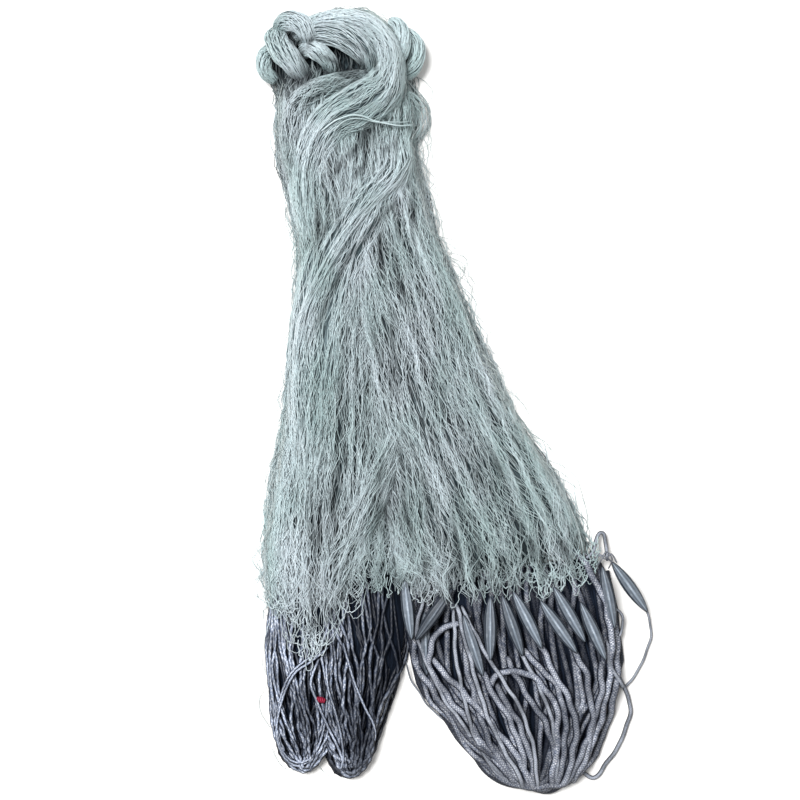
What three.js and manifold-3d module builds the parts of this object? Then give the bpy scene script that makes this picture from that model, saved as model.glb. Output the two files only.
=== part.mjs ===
// A trammel net gathered into a hank and laid flat: tied head, fanned netting, lead line and float line.
// Units are millimetres. +Z is up, the ground is z = 0, and +Y runs from the rope bights to the tied head.
import * as THREE from "three";
import { mergeVertices } from "three/addons/utils/BufferGeometryUtils.js";
import Module from "manifold-3d";

const wasm = await Module();
wasm.setup();

// Driving dimensions
const GAP = 0.4; // clearance between neighbouring pieces
const FLOAT_LENGTH = 63;
const FLOAT_DIAMETER = 13;
const FLOAT_TIP_DIAMETER = 4.5;
const FLOAT_ROPE_DIAMETER = 7.5;
const LEAD_LINE_DIAMETER = 4.4;
const LOOSE_LINE_DIAMETER = 4.2;
const ROPE_SIDES = 6;
const LEAD_LINE_SIDES = 5;
const FLOAT_SIDES = 8;
const SPINDLE_POWER = 1.9; // how full a float's profile is
const EDGE_HEIGHT = 5; // height of a bundle's side where its dome begins
const DOME_POWER = 2.6; // how square a bundle's section is
const FOOT_INSET = 2.5; // how far a bundle's flat foot stands in from its side
const TALLEST = 120; // above everything, for the prisms that part the pieces
const FAR = 600; // beyond every edge, for the same prisms

// Bundles of netting, a row for each section: centre of the section, half its width and its crown height.
const RIGHT_FAN = [
  { x: -88, y: 338, half: 34, top: 22 },
  { x: -87, y: 304, half: 45, top: 36 },
  { x: -88, y: 252, half: 47, top: 42 },
  { x: -85, y: 202, half: 53, top: 44 },
  { x: -75, y: 152, half: 58, top: 44 },
  { x: -60, y: 102, half: 63, top: 44 },
  { x: -46, y: 52, half: 68, top: 43 },
  { x: -31, y: 2, half: 74, top: 42 },
  { x: -12, y: -48, half: 81, top: 41 },
  { x: 9, y: -98, half: 89, top: 40 },
  { x: 30, y: -148, half: 97, top: 39 },
  { x: 42, y: -206, half: 101, top: 36 },
];
const LEFT_FAN = [
  { x: -132, y: 338, half: 34, top: 22 },
  { x: -134, y: 304, half: 44, top: 36 },
  { x: -130, y: 252, half: 46, top: 42 },
  { x: -120, y: 202, half: 43, top: 43 },
  { x: -113, y: 152, half: 45, top: 43 },
  { x: -112, y: 102, half: 46, top: 42 },
  { x: -114, y: 52, half: 48, top: 41 },
  { x: -116, y: 2, half: 53, top: 40 },
  { x: -119, y: -48, half: 58, top: 38 },
  { x: -122, y: -98, half: 63, top: 37 },
  { x: -124, y: -148, half: 67, top: 36 },
  { x: -124, y: -198, half: 67, top: 34 },
  { x: -124, y: -252, half: 54, top: 29 },
];
const UPPER_SWEEP = [
  { x: -162, y: 364, half: 9, top: 24 },
  { x: -142, y: 378, half: 11, top: 36 },
  { x: -112, y: 383, half: 12, top: 43 },
  { x: -88, y: 376, half: 14, top: 48 },
  { x: -71, y: 358, half: 15, top: 52 },
  { x: -66, y: 336, half: 17, top: 54 },
  { x: -75, y: 312, half: 26, top: 54 },
  { x: -93, y: 292, half: 35, top: 53 },
  { x: -120, y: 270, half: 35, top: 52 },
  { x: -138, y: 240, half: 31, top: 49 },
  { x: -142, y: 202, half: 24, top: 43 },
  { x: -134, y: 160, half: 15, top: 30 },
];
const DIAGONAL_SWEEP = [
  { x: -72, y: 284, half: 20, top: 28 },
  { x: -64, y: 236, half: 25, top: 45 },
  { x: -89, y: 196, half: 33, top: 51 },
  { x: -115, y: 148, half: 37, top: 51 },
  { x: -129, y: 96, half: 35, top: 49 },
  { x: -137, y: 42, half: 32, top: 46 },
  { x: -142, y: -8, half: 28, top: 42 },
  { x: -146, y: -68, half: 22, top: 36 },
  { x: -146, y: -128, half: 14, top: 24 },
];
const FRONT_VEIL = [
  { x: -82, y: 327, half: 8, top: 32 },
  { x: -101, y: 323, half: 11, top: 42 },
  { x: -122, y: 318, half: 13, top: 44 },
  { x: -143, y: 309, half: 15, top: 44 },
  { x: -158, y: 294, half: 16, top: 44 },
  { x: -164, y: 270, half: 15, top: 43 },
  { x: -163, y: 240, half: 12, top: 40 },
  { x: -156, y: 204, half: 8, top: 30 },
];
const HEAD_CORE = [
  { x: -116, y: 382, half: 44, top: 12 },
  { x: -117, y: 352, half: 70, top: 22 },
  { x: -116, y: 322, half: 75, top: 25 },
  { x: -112, y: 288, half: 66, top: 27 },
];
const FAN_LOCKS = { points: 20, steps: 20, relief: 1.6, wander: 0.5 };
const SWEEP_LOCKS = { points: 11, steps: 16, relief: 1.4, wander: 0.4 };
const VEIL_LOCKS = { points: 9, steps: 10, locks: 2, relief: 1.2, wander: 0.3 };
const CORE_LOCKS = { points: 9, steps: 4, locks: 0, relief: 0, wander: 0 };

// Twisted turns of the tied head: the line each follows, its radius at both ends and in the middle,
// and how many times its strands go round.
const HEAD_TURNS = [
  { line: [[-150, 362, 18], [-136, 369, 32], [-114, 365, 40], [-97, 355, 40], [-86, 341, 30],
           [-87, 327, 12]],
    ends: 8, middle: 12.5, turns: 0.2 },
  { line: [[-154, 350, 16], [-143, 353, 32], [-128, 348, 36], [-114, 338, 28], [-110, 327, 12]],
    ends: 6, middle: 9, turns: 0.3 },
  { line: [[-183, 370, 8], [-181, 364, 22], [-174, 352, 33], [-162, 338, 31], [-151, 325, 14]],
    ends: 7, middle: 12, turns: 0.35 },
  { line: [[-186, 358, 8], [-192, 350, 15], [-193, 341, 18], [-190, 331, 16], [-181, 324, 8]],
    ends: 5, middle: 7.5, turns: 0.4 },
  { line: [[-180, 374, 12], [-170, 381, 26], [-156, 378, 34], [-146, 366, 33], [-142, 353, 18]],
    ends: 6, middle: 10, turns: 0.35 },
  { line: [[-66, 368, 10], [-52, 371, 20], [-41, 362, 24], [-38, 348, 24], [-44, 334, 20],
           [-56, 326, 10]],
    ends: 5, middle: 8, turns: 0.4 },
  { line: [[-63, 385, 8], [-57, 378, 20], [-54, 365, 28], [-55, 350, 28], [-60, 338, 14]],
    ends: 4, middle: 6.5, turns: 0.4 },
];

// The bunched lines, a row for each section of the heaps that their hanging bights make.
const FLOAT_LINE_HEAP = [
  { x: 50, y: -160, half: 98, top: 24 },
  { x: 56, y: -198, half: 104, top: 28 },
  { x: 66, y: -248, half: 103, top: 32 },
  { x: 72, y: -288, half: 97, top: 32 },
  { x: 77, y: -318, half: 82, top: 30 },
  { x: 79, y: -348, half: 63, top: 27 },
  { x: 83, y: -372, half: 50, top: 22 },
  { x: 85, y: -387, half: 29, top: 15 },
  { x: 84, y: -394, half: 12, top: 9 },
];
const LEAD_LINE_LEFT_HEAP = [
  { x: -142, y: -190, half: 42, top: 24 },
  { x: -144, y: -228, half: 46, top: 27 },
  { x: -147, y: -268, half: 45, top: 28 },
  { x: -151, y: -308, half: 40, top: 26 },
  { x: -156, y: -338, half: 34, top: 22 },
  { x: -160, y: -360, half: 24, top: 17 },
  { x: -163, y: -372, half: 12, top: 9 },
];
const LEAD_LINE_RIGHT_HEAP = [
  { x: -98, y: -176, half: 42, top: 23 },
  { x: -99, y: -228, half: 46, top: 26 },
  { x: -102, y: -268, half: 44, top: 28 },
  { x: -107, y: -308, half: 39, top: 26 },
  { x: -109, y: -340, half: 32, top: 22 },
  { x: -113, y: -363, half: 25, top: 16 },
  { x: -117, y: -378, half: 12, top: 9 },
];
const FLOAT_LINE_TURNS = { points: 33, steps: 13, locks: 8, relief: 2.6, wander: 0.2 };
const LEAD_LINE_TURNS = { points: 17, steps: 10, locks: 4, relief: 1.8, wander: 0.3 };

// The uppermost bights: how far from the middle of its heap each hangs, as a share of the heap's half width.
const FLOAT_LINE_BIGHTS = [0.62, 0.28];
const LEAD_LINE_BIGHTS = [0.5];

// Free stretches of the float line: the loose bight beside the heap and the small loop above it.
const LOOSE_BIGHT = [
  [192, -208, 9], [197, -238, 4], [188, -266, 3], [172, -290, 5], [176, -313, 3],
  [169, -340, 3], [152, -366, 3], [140, -379, 3], [128, -373, 6], [112, -362, 12],
];
const SMALL_LOOP = [
  [136, -196, 16], [142, -168, 9], [145, -140, 8], [150, -131, 8], [154, -142, 8],
  [153, -168, 9], [146, -198, 16],
];

// Spindle floats: middle of each, and in degrees the plan angle it points along and how far it tips down
// that way.
const FLOATS = [
  { x: -48, y: -208, z: 14, yaw: -83, pitch: 2 },
  { x: 175, y: -186, z: 18, yaw: -54, pitch: 12 },
  { x: 34, y: -226, z: 37, yaw: -90, pitch: -2 },
  { x: 56, y: -223, z: 38, yaw: -71, pitch: 0 },
  { x: 71, y: -217, z: 38, yaw: -63, pitch: 0 },
  { x: 102, y: -224, z: 37, yaw: -55, pitch: 2 },
  { x: 113, y: -212, z: 35, yaw: -60, pitch: 3 },
  { x: 137, y: -229, z: 31, yaw: -66, pitch: 5 },
  { x: 17, y: -243, z: 35, yaw: -72, pitch: 0 },
  { x: 153, y: -196, z: 24, yaw: -78, pitch: 5 },
  { x: -22, y: -212, z: 32, yaw: 55, pitch: -3 },
  { x: -30, y: -243, z: 18, yaw: -88, pitch: 0 },
];

// Plan lines that part the pieces, as corner points from left to right.
const NETTING_HEM = [
  [-230, -208], [-176, -214], [-140, -236], [-122, -246], [-104, -222], [-84, -196],
  [-52, -190], [0, -194], [60, -190], [110, -194], [136, -184], [146, -160], [137, -120], [230, -110],
];
const BETWEEN_LINES = [[-52, -190], [-52, -262], [-62, -330], [-62, -430]];

// Colours and finishes
const TWINE = new THREE.MeshStandardMaterial({ color: 0x9fb2b3, roughness: 0.62, metalness: 0 });
const FLOAT_ROPE = new THREE.MeshStandardMaterial({ color: 0x7d8596, roughness: 0.7, metalness: 0 });
const LEAD_ROPE = new THREE.MeshStandardMaterial({ color: 0x5f6675, roughness: 0.66, metalness: 0 });
const FOAM = new THREE.MeshStandardMaterial({ color: 0x8797a4, roughness: 0.55, metalness: 0 });

// A closed geometry as a solid that can be joined and cut.
function solidOf(geometry) {
  const bare = geometry.clone();
  bare.deleteAttribute("normal");
  bare.deleteAttribute("uv");
  const merged = mergeVertices(bare, 1e-3);
  return new wasm.Manifold(new wasm.Mesh({
    numProp: 3,
    vertProperties: new Float32Array(merged.attributes.position.array),
    triVerts: new Uint32Array(merged.index.array),
  }));
}

// A solid's surface as a geometry.
function geometryOf(solid) {
  const { numProp, vertProperties, triVerts } = solid.getMesh();
  const position = new Float32Array((vertProperties.length / numProp) * 3);
  for (let i = 0; i < position.length; i += 3)
    position.set(vertProperties.subarray((i / 3) * numProp, (i / 3) * numProp + 3), i);
  const geometry = new THREE.BufferGeometry();
  geometry.setAttribute("position", new THREE.BufferAttribute(position, 3));
  geometry.setIndex(new THREE.BufferAttribute(new Uint32Array(triVerts), 1));
  geometry.computeVertexNormals();
  return geometry;
}

function joined(solids) {
  return solids.reduce((sum, solid) => sum.add(solid));
}

// Closed skin over rings of points that all have the same count, capped at both ends.
function skin(rings) {
  const count = rings[0].length;
  const position = rings.flat().flatMap((p) => [p.x, p.y, p.z]);
  const index = [];
  for (let i = 0; i + 1 < rings.length; i++)
    for (let j = 0; j < count; j++) {
      const a = i * count + j;
      const b = i * count + ((j + 1) % count);
      index.push(a, b + count, b, a, a + count, b + count);
    }
  const last = (rings.length - 1) * count;
  for (let j = 1; j + 1 < count; j++) {
    index.push(0, j, j + 1);
    index.push(last, last + j + 1, last + j);
  }
  const geometry = new THREE.BufferGeometry();
  geometry.setAttribute("position", new THREE.Float32BufferAttribute(position, 3));
  geometry.setIndex(index);
  return geometry;
}

// Point on the domed top of a bundle: share runs from its first row to its last, and side from -1 to 1
// across it.
function onBundle(rows, share, side) {
  const line = new THREE.SplineCurve(rows.map((r) => new THREE.Vector2(r.x, r.y)));
  const size = new THREE.SplineCurve(rows.map((r) => new THREE.Vector2(r.half, r.top)));
  const centre = line.getPoint(share);
  const ahead = line.getTangent(share);
  const { x: half, y: top } = size.getPoint(share);
  const dome = Math.sqrt(Math.max(0, 1 - Math.abs(side) ** DOME_POWER));
  return {
    x: centre.x - ahead.y * half * side,
    y: centre.y + ahead.x * half * side,
    z: EDGE_HEIGHT + (top - EDGE_HEIGHT) * dome,
    dome,
    foot: 1 - FOOT_INSET / half,
    across: new THREE.Vector2(-ahead.y, ahead.x).multiplyScalar(half),
    centre,
  };
}

// A bundle of gathered yarn that lies on the ground, with its locks raised as ridges that wander along it.
function bundle(rows, { points, steps, locks, relief, wander }) {
  const CROWDING = 0.3;
  const SLOW_DRIFT = { along: 5.1, across: 2.3 };
  const QUICK_DRIFT = { along: 9, across: 7, size: 0.3 };
  const drifting = (wave, share, side) => Math.sin(wave.along * share + wave.across * side);
  const rings = [];
  for (let i = 0; i <= steps; i++) {
    const share = i / steps;
    const ring = [];
    for (let j = 0; j < points; j++) {
      const even = (2 * j) / (points - 1) - 1;
      const side = even * (1 + CROWDING - CROWDING * even * even);
      const p = onBundle(rows, share, side);
      const slow = wander * drifting(SLOW_DRIFT, share, side);
      const quick = QUICK_DRIFT.size * drifting(QUICK_DRIFT, share, side);
      const ridge = Math.cos(Math.PI * (locks * (side + 1) + 2 * (slow + quick)));
      ring.push(new THREE.Vector3(p.x, p.y, p.z + relief * ridge * p.dome));
    }
    const { centre, across, foot } = onBundle(rows, share, 0);
    for (const end of [foot, -foot])
      ring.push(new THREE.Vector3(centre.x + across.x * end, centre.y + across.y * end, 0));
    rings.push(ring);
  }
  return solidOf(skin(rings));
}

// A twisted turn of netting along a line, thickest in its middle, with its strands raised in a helix.
function twistedTurn({ line, ends, middle, turns }) {
  const ARC_POINTS = 8;
  const STEPS = 9;
  const STRANDS = 5;
  const STRAND_RELIEF = 0.09;
  const FOOT_SHARE = 0.94;
  const SWELL_POWER = 0.8;
  const path = new THREE.CatmullRomCurve3(line.map((p) => new THREE.Vector3(...p)));
  const rings = [];
  for (let i = 0; i <= STEPS; i++) {
    const share = i / STEPS;
    const centre = path.getPointAt(share);
    const ahead = path.getTangentAt(share).setZ(0).normalize();
    const thick = ends + (middle - ends) * Math.sin(Math.PI * share) ** SWELL_POWER;
    const ring = [];
    for (let j = 0; j < ARC_POINTS; j++) {
      const angle = Math.PI * (1 - j / (ARC_POINTS - 1));
      const strand = Math.cos(STRANDS * (angle + 2 * Math.PI * turns * share));
      const reach = thick * (1 + STRAND_RELIEF * strand);
      const side = reach * Math.cos(angle);
      ring.push(new THREE.Vector3(
        centre.x - ahead.y * side,
        centre.y + ahead.x * side,
        centre.z + reach * Math.sin(angle),
      ));
    }
    for (const side of [FOOT_SHARE * thick, -FOOT_SHARE * thick])
      ring.push(new THREE.Vector3(centre.x - ahead.y * side, centre.y + ahead.x * side, 0));
    rings.push(ring);
  }
  return solidOf(skin(rings));
}

// A rope of round section along a line of points.
function rope(points, diameter, sides, steps) {
  const section = new THREE.Shape();
  section.absarc(0, 0, diameter / 2, 0, 2 * Math.PI, false);
  const path = new THREE.CatmullRomCurve3(points.map((p) => new THREE.Vector3(...p)));
  return solidOf(new THREE.ExtrudeGeometry(section, {
    extrudePath: path,
    steps,
    curveSegments: sides,
  }));
}

// The route of one hanging bight: down one side of its heap, round above the heap's foot and up the other
// side.
function bightRoute(rows, spread) {
  const POINTS = 6;
  const LEG = 0.74;
  const FOOT = 0.84;
  const FOOT_RISE = 0.1;
  const SWAY = { size: 0.08, start: 9, run: 6 };
  const leg = (way) => {
    const points = [];
    for (let i = 0; i < POINTS; i++) {
      const share = (LEG * i) / (POINTS - 1);
      const sway = SWAY.size * Math.sin(SWAY.start * spread + SWAY.run * share + way) * (1 - spread);
      const { x, y, z } = onBundle(rows, share, way * (spread + sway));
      points.push([x, y, z]);
    }
    return points;
  };
  const { x, y, z } = onBundle(rows, FOOT - FOOT_RISE * (1 - spread), FOOT_RISE);
  return [...leg(-1), [x, y, z], ...leg(1).reverse()];
}

// A heap of hanging bights: its turns as ridges, with its uppermost bights as whole ropes.
function heap(rows, turns, spreads, diameter, sides) {
  const STEPS = 20;
  const ropes = spreads.map((spread) => rope(bightRoute(rows, spread), diameter, sides, STEPS));
  return joined([bundle(rows, turns), ...ropes]);
}

// A spindle float, its long axis along Y, grown all round by a margin.
function spindle(margin) {
  const STATIONS = 3;
  const half = FLOAT_LENGTH / 2 + margin;
  const profile = [new THREE.Vector2(0, -half)];
  for (let i = -STATIONS; i <= STATIONS; i++) {
    const share = i / STATIONS;
    const swell = (FLOAT_DIAMETER - FLOAT_TIP_DIAMETER) * (1 - Math.abs(share) ** SPINDLE_POWER);
    profile.push(new THREE.Vector2((FLOAT_TIP_DIAMETER + swell) / 2 + margin, share * half));
  }
  profile.push(new THREE.Vector2(0, half));
  return new THREE.LatheGeometry(profile, FLOAT_SIDES);
}

function floatMesh({ x, y, z, yaw, pitch }, number) {
  const mesh = new THREE.Mesh(spindle(0), FOAM);
  mesh.name = `float_${String(number + 1).padStart(2, "0")}`;
  mesh.position.set(x, y, z);
  mesh.rotation.order = "ZXY";
  mesh.rotation.z = THREE.MathUtils.degToRad(yaw - 90);
  mesh.rotation.x = THREE.MathUtils.degToRad(-pitch);
  mesh.updateMatrix();
  return mesh;
}

// A tall prism over a plan outline.
function prism(outline) {
  const shape = new THREE.Shape(outline.map(([x, y]) => new THREE.Vector2(x, y)));
  const geometry = new THREE.ExtrudeGeometry(shape, { depth: 2 * TALLEST, bevelEnabled: false });
  return solidOf(geometry.translate(0, 0, -TALLEST));
}

// Everything above (way 1) or below (way -1) a plan line that runs from left to right.
function beyondLine(line, way) {
  const [, firstY] = line[0];
  const [, lastY] = line.at(-1);
  return prism([...line, [FAR, lastY], [FAR, way * FAR], [-FAR, way * FAR], [-FAR, firstY]]);
}

// Everything to the right (way 1) or left (way -1) of a plan line that runs downwards.
function besideLine(line, way) {
  const [firstX] = line[0];
  const [, lastY] = line.at(-1);
  return prism([...line, [way * FAR, lastY], [way * FAR, FAR], [firstX, FAR]]);
}

function shifted(line, dx, dy) {
  return line.map(([x, y]) => [x + dx, y + dy]);
}

const aboveHem = beyondLine(NETTING_HEM, 1);
const belowHem = beyondLine(shifted(NETTING_HEM, 0, -GAP), -1);
const leftOfGap = besideLine(BETWEEN_LINES, -1);
const rightOfGap = besideLine(shifted(BETWEEN_LINES, GAP, 0), 1);

const floats = FLOATS.map(floatMesh);
const seats = joined(floats.map((mesh) => solidOf(spindle(GAP).applyMatrix4(mesh.matrix))));

function netting() {
  const bundles = [
    bundle(RIGHT_FAN, { ...FAN_LOCKS, locks: 6 }),
    bundle(LEFT_FAN, { ...FAN_LOCKS, locks: 5 }),
    bundle(UPPER_SWEEP, { ...SWEEP_LOCKS, locks: 3 }),
    bundle(DIAGONAL_SWEEP, { ...SWEEP_LOCKS, locks: 3 }),
    bundle(FRONT_VEIL, VEIL_LOCKS),
    bundle(HEAD_CORE, CORE_LOCKS),
  ];
  return joined([...bundles, ...HEAD_TURNS.map(twistedTurn)]).intersect(aboveHem).subtract(seats);
}

function floatLine() {
  const LOOSE_STEPS = 30;
  const LOOP_STEPS = 18;
  const turns = [
    heap(FLOAT_LINE_HEAP, FLOAT_LINE_TURNS, FLOAT_LINE_BIGHTS, FLOAT_ROPE_DIAMETER, ROPE_SIDES),
    rope(LOOSE_BIGHT, LOOSE_LINE_DIAMETER, ROPE_SIDES, LOOSE_STEPS),
    rope(SMALL_LOOP, LOOSE_LINE_DIAMETER, ROPE_SIDES, LOOP_STEPS),
  ];
  return joined(turns).intersect(belowHem).intersect(rightOfGap).subtract(seats);
}

function leadLine() {
  const heaps = [LEAD_LINE_LEFT_HEAP, LEAD_LINE_RIGHT_HEAP];
  const turns = heaps.map((rows) =>
    heap(rows, LEAD_LINE_TURNS, LEAD_LINE_BIGHTS, LEAD_LINE_DIAMETER, LEAD_LINE_SIDES));
  return joined(turns).intersect(belowHem).intersect(leftOfGap).subtract(seats);
}

function piece(name, solid, material) {
  const mesh = new THREE.Mesh(geometryOf(solid), material);
  mesh.name = name;
  return mesh;
}

const trammelNet = new THREE.Group();
trammelNet.add(
  piece("netting", netting(), TWINE),
  piece("float_line", floatLine(), FLOAT_ROPE),
  piece("lead_line", leadLine(), LEAD_ROPE),
  ...floats,
);

export default trammelNet;
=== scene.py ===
"""Looks of a trammel net gathered into a hank: twisted head, fanned netting, lead line and float line.

Places and sizes are millimetres in the part's frame and become metres when a mesh is made. +Z is up, the
ground is z = 0, and +Y runs from the rope bights to the tied head. A share runs from 0 to 1 along a
thing, a side from -1 to 1 across it, and a tone from 0, the darkest, to 1, the lightest.
"""

from __future__ import annotations

import logging
import math
from dataclasses import dataclass
from enum import Enum
from typing import Any

import bpy
import numpy as np
from numpy.typing import NDArray
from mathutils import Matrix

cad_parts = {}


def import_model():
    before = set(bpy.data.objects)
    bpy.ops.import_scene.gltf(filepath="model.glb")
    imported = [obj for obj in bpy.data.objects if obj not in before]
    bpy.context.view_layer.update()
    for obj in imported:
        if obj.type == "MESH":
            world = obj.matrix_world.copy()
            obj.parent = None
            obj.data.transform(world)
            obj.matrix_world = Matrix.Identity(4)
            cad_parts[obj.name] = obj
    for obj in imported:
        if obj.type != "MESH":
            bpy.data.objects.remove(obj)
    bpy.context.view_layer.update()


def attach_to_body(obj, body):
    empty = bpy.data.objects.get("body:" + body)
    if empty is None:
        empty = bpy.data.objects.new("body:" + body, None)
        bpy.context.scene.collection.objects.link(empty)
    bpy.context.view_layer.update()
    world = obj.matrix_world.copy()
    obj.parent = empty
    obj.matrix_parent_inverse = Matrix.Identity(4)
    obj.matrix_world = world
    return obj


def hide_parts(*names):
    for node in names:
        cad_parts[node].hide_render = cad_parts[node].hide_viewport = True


Array = NDArray[np.float64]
Colour = tuple[float, float, float]
Span = tuple[float, float]
Rows = tuple[tuple[float, ...], ...]

LOG = logging.getLogger("trammel_net")
MM = 0.001  # metres in a millimetre
TURN = 2 * math.pi  # radians in a whole turn
TINY = 1e-9  # shortest vector that is scaled to length one
NUDGE = (1e-6, 0.0, 0.0)  # keeps the sideways vector of an upright path from vanishing
BODY = "root"
BAKE_MAP = "OFBake"
BRAID_MAP = "Braid"
TONE = "tone"
ROW_MARGIN = 0.05  # share of a tube's row on the bake map that stays free at each side
MEASURE_POINTS = 200  # points at which a middle line is measured
THREAD_SIDES = 3  # sides of a thread's section
CRINKLE_SPREAD = 1.6  # spread of draws that leaves a spread of about one when they are evened out
EDGE_HEIGHT = 5.0  # height of a bundle's side where its dome begins
DOME_POWER = 2.6  # how square a bundle's section is
LOWEST = 1.0  # no thread's middle lies closer to the ground than this
CLEARANCE = 0.1  # gap between a cord and the ground
LOCK_DRIFT = (5.1, 2.3, 0.0)  # angles along and across a bundle, and start, of the drift of its locks
WEAK_DRIFT = (0.3, 9.0, 7.0, 0.0)  # gain, angles and start of a weaker drift on top of it
FINE_DRIFT = ((0.5, 13.0, 6.0, 0.0), (0.4, 31.0, -11.0, 1.3))  # the same of the two drifts of its fine locks


class Slot(Enum):
    """The record's material slots."""

    TWINE = "netting_twine"
    FLOAT_ROPE = "float_rope"
    LEAD_ROPE = "lead_rope"
    FOAM = "float_foam"


class Maths(Enum):
    """Operations of a Math node."""

    ADD = "ADD"
    SUBTRACT = "SUBTRACT"
    MULTIPLY = "MULTIPLY"
    SINE = "SINE"


class Blend(Enum):
    """Ways in which a second colour acts on a first."""

    MIX = "MIX"
    MULTIPLY = "MULTIPLY"


def srgb(code: str) -> Colour:
    """Linear colour of a display colour, by the standard curve of a straight foot and a power above it.

    Args:
        code: The display colour as six hex digits.

    Returns:
        Linear red, green and blue.
    """
    shares = np.array([int(code[i : i + 2], 16) for i in (0, 2, 4)]) / 255
    linear = np.where(shares <= 0.04045, shares / 12.92, ((shares + 0.055) / 1.055) ** 2.4)
    return tuple(float(value) for value in linear)


def faired(table: Array, share: Array) -> tuple[Array, Array]:
    """Runs a smooth curve through the rows of a table, spaced evenly.

    Between two rows the value is the cubic that starts and ends at them, with slopes of half the step between
    their neighbours.

    Args:
        table: Rows of numbers, of shape (rows, columns).
        share: Places from 0 at the first row to 1 at the last, of any shape.

    Returns:
        The values and their slopes, each of share's shape with a last axis of columns.
    """
    steps = len(table) - 1
    place = np.clip(share, 0.0, 1.0) * steps
    start = np.minimum(place.astype(int), steps - 1)
    part = (place - start)[..., None]
    before, first, second, after = (table[np.clip(start + k, 0, steps)] for k in (-1, 0, 1, 2))
    leave = (second - before) / 2
    arrive = (after - first) / 2
    cubic = 2 * first - 2 * second + leave + arrive
    square = -3 * first + 3 * second - 2 * leave - arrive
    value = ((cubic * part + square) * part + leave) * part + first
    slope = (3 * cubic * part + 2 * square) * part + leave
    return value, slope


def unit(vectors: Array) -> Array:
    """Each vector at length one."""
    return vectors / np.maximum(np.linalg.norm(vectors, axis=-1, keepdims=True), TINY)


def ripple(share: Array, side: Array, waves: Rows) -> Array:
    """Sum of sines over a bundle, from the gain, angles along and across it, and start of each wave."""
    return sum(gain * np.sin(along * share + across * side + start) for gain, along, across, start in waves)


def patched(tone: Array, places: Array, patches: Rows, keep: float = 0.0, power: float = 1.0) -> Array:
    """Paints light and shade into a tone in soft patches.

    Each patch multiplies the tone by one plus its gain times a bell curve of the plan distance from its
    middle, measured across and along its lean, all to a power.

    Args:
        tone: Lightness at the places.
        places: Points, with a last axis of three.
        patches: Plan middle, half width, half length, degrees of lean from +Y towards +X, and gain of each.
        keep: Share of the change that full lightness withstands.
        power: How steeply the change acts.

    Returns:
        The new lightness.
    """
    for x, y, wide, long, lean, gain in patches:
        turn = math.radians(lean)
        east = places[..., 0] - x
        north = places[..., 1] - y
        across = east * math.cos(turn) - north * math.sin(turn)
        along = east * math.sin(turn) + north * math.cos(turn)
        bell = np.exp(-((across / wide) ** 2) - (along / long) ** 2)
        tone = tone * (1 + gain * bell * (1 - keep * np.clip(tone, 0.0, 1.0))) ** power
    return tone


@dataclass
class Shape:
    """Points, faces and maps of a mesh to be."""

    points: Array  # places, of shape (points, 3)
    faces: list[Array]  # point numbers, each of shape (faces, corners)
    maps: dict[str, list[Array]]  # for each UV map, places that match faces
    tone: Array  # lightness of every point

    @staticmethod
    def joined(shapes: list[Shape]) -> Shape:
        """Several shapes as one, with each one's point numbers moved past those before it.

        Args:
            shapes: Shapes with the same maps.

        Returns:
            The one shape.
        """
        starts = np.cumsum([0] + [len(shape.points) for shape in shapes])
        points = np.concatenate([shape.points for shape in shapes])
        faces = [face + start for shape, start in zip(shapes, starts) for face in shape.faces]
        maps = {key: [places for shape in shapes for places in shape.maps[key]] for key in shapes[0].maps}
        return Shape(points, faces, maps, np.concatenate([shape.tone for shape in shapes]))

    @staticmethod
    def ringed(rings: Array, tone: Array) -> Shape:
        """A closed skin through a stack of rings, with a flat cap on each end.

        Args:
            rings: Places, of shape (rings, points, 3), turning so that the faces look outwards.
            tone: Lightness of every point.

        Returns:
            The skin, with the rings along and their points across its bake map.
        """
        steps, count, _ = rings.shape
        number = np.arange(steps * count).reshape(steps, count)
        turned = np.roll(number, -1, axis=1)
        quads = np.stack([number[:-1], turned[:-1], turned[1:], number[1:]], -1).reshape(-1, 4)
        caps = np.stack([number[0, ::-1], number[-1]])
        along = np.linspace(0, 1, steps)
        across = np.linspace(0, 1, count + 1)
        grid = np.stack(np.meshgrid(along, across, indexing="ij"), -1)
        corners = [grid[:-1, :-1], grid[:-1, 1:], grid[1:, 1:], grid[1:, :-1]]
        places = [np.stack(corners, -2).reshape(-1, 4, 2), np.stack([grid[0, -2::-1], grid[-1, :-1]])]
        every_tone = (tone + np.zeros((steps, count))).ravel()
        return Shape(rings.reshape(-1, 3), [quads, caps], {BAKE_MAP: places}, every_tone)


def make_object(name: str, shape: Shape) -> bpy.types.Object:
    """Puts a shape into a smooth-shaded mesh object at the origin.

    Args:
        name: Name of the object and its mesh.
        shape: What the mesh holds.

    Returns:
        The object, linked to the scene.
    """
    mesh = bpy.data.meshes.new(name)
    corners = np.concatenate([face.ravel() for face in shape.faces]).astype(np.int32)
    sizes = np.concatenate([np.full(len(face), face.shape[1]) for face in shape.faces])
    starts = np.concatenate([[0], np.cumsum(sizes)[:-1]]).astype(np.int32)
    mesh.vertices.add(len(shape.points))
    mesh.vertices.foreach_set("co", (shape.points * MM).astype(np.float32).ravel())
    mesh.loops.add(len(corners))
    mesh.loops.foreach_set("vertex_index", corners)
    mesh.polygons.add(len(sizes))
    mesh.polygons.foreach_set("loop_start", starts)
    mesh.polygons.foreach_set("use_smooth", np.ones(len(sizes), bool))
    for map_name, places in shape.maps.items():
        layer = mesh.uv_layers.new(name=map_name)
        flat = np.concatenate([place.reshape(-1, 2) for place in places])
        layer.data.foreach_set("uv", flat.astype(np.float32).ravel())
    tone = mesh.attributes.new(TONE, "FLOAT", "POINT")
    tone.data.foreach_set("value", shape.tone.astype(np.float32).ravel())
    mesh.update(calc_edges=True)
    mesh.validate()
    piece = bpy.data.objects.new(name, mesh)
    bpy.context.scene.collection.objects.link(piece)
    return piece


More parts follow.
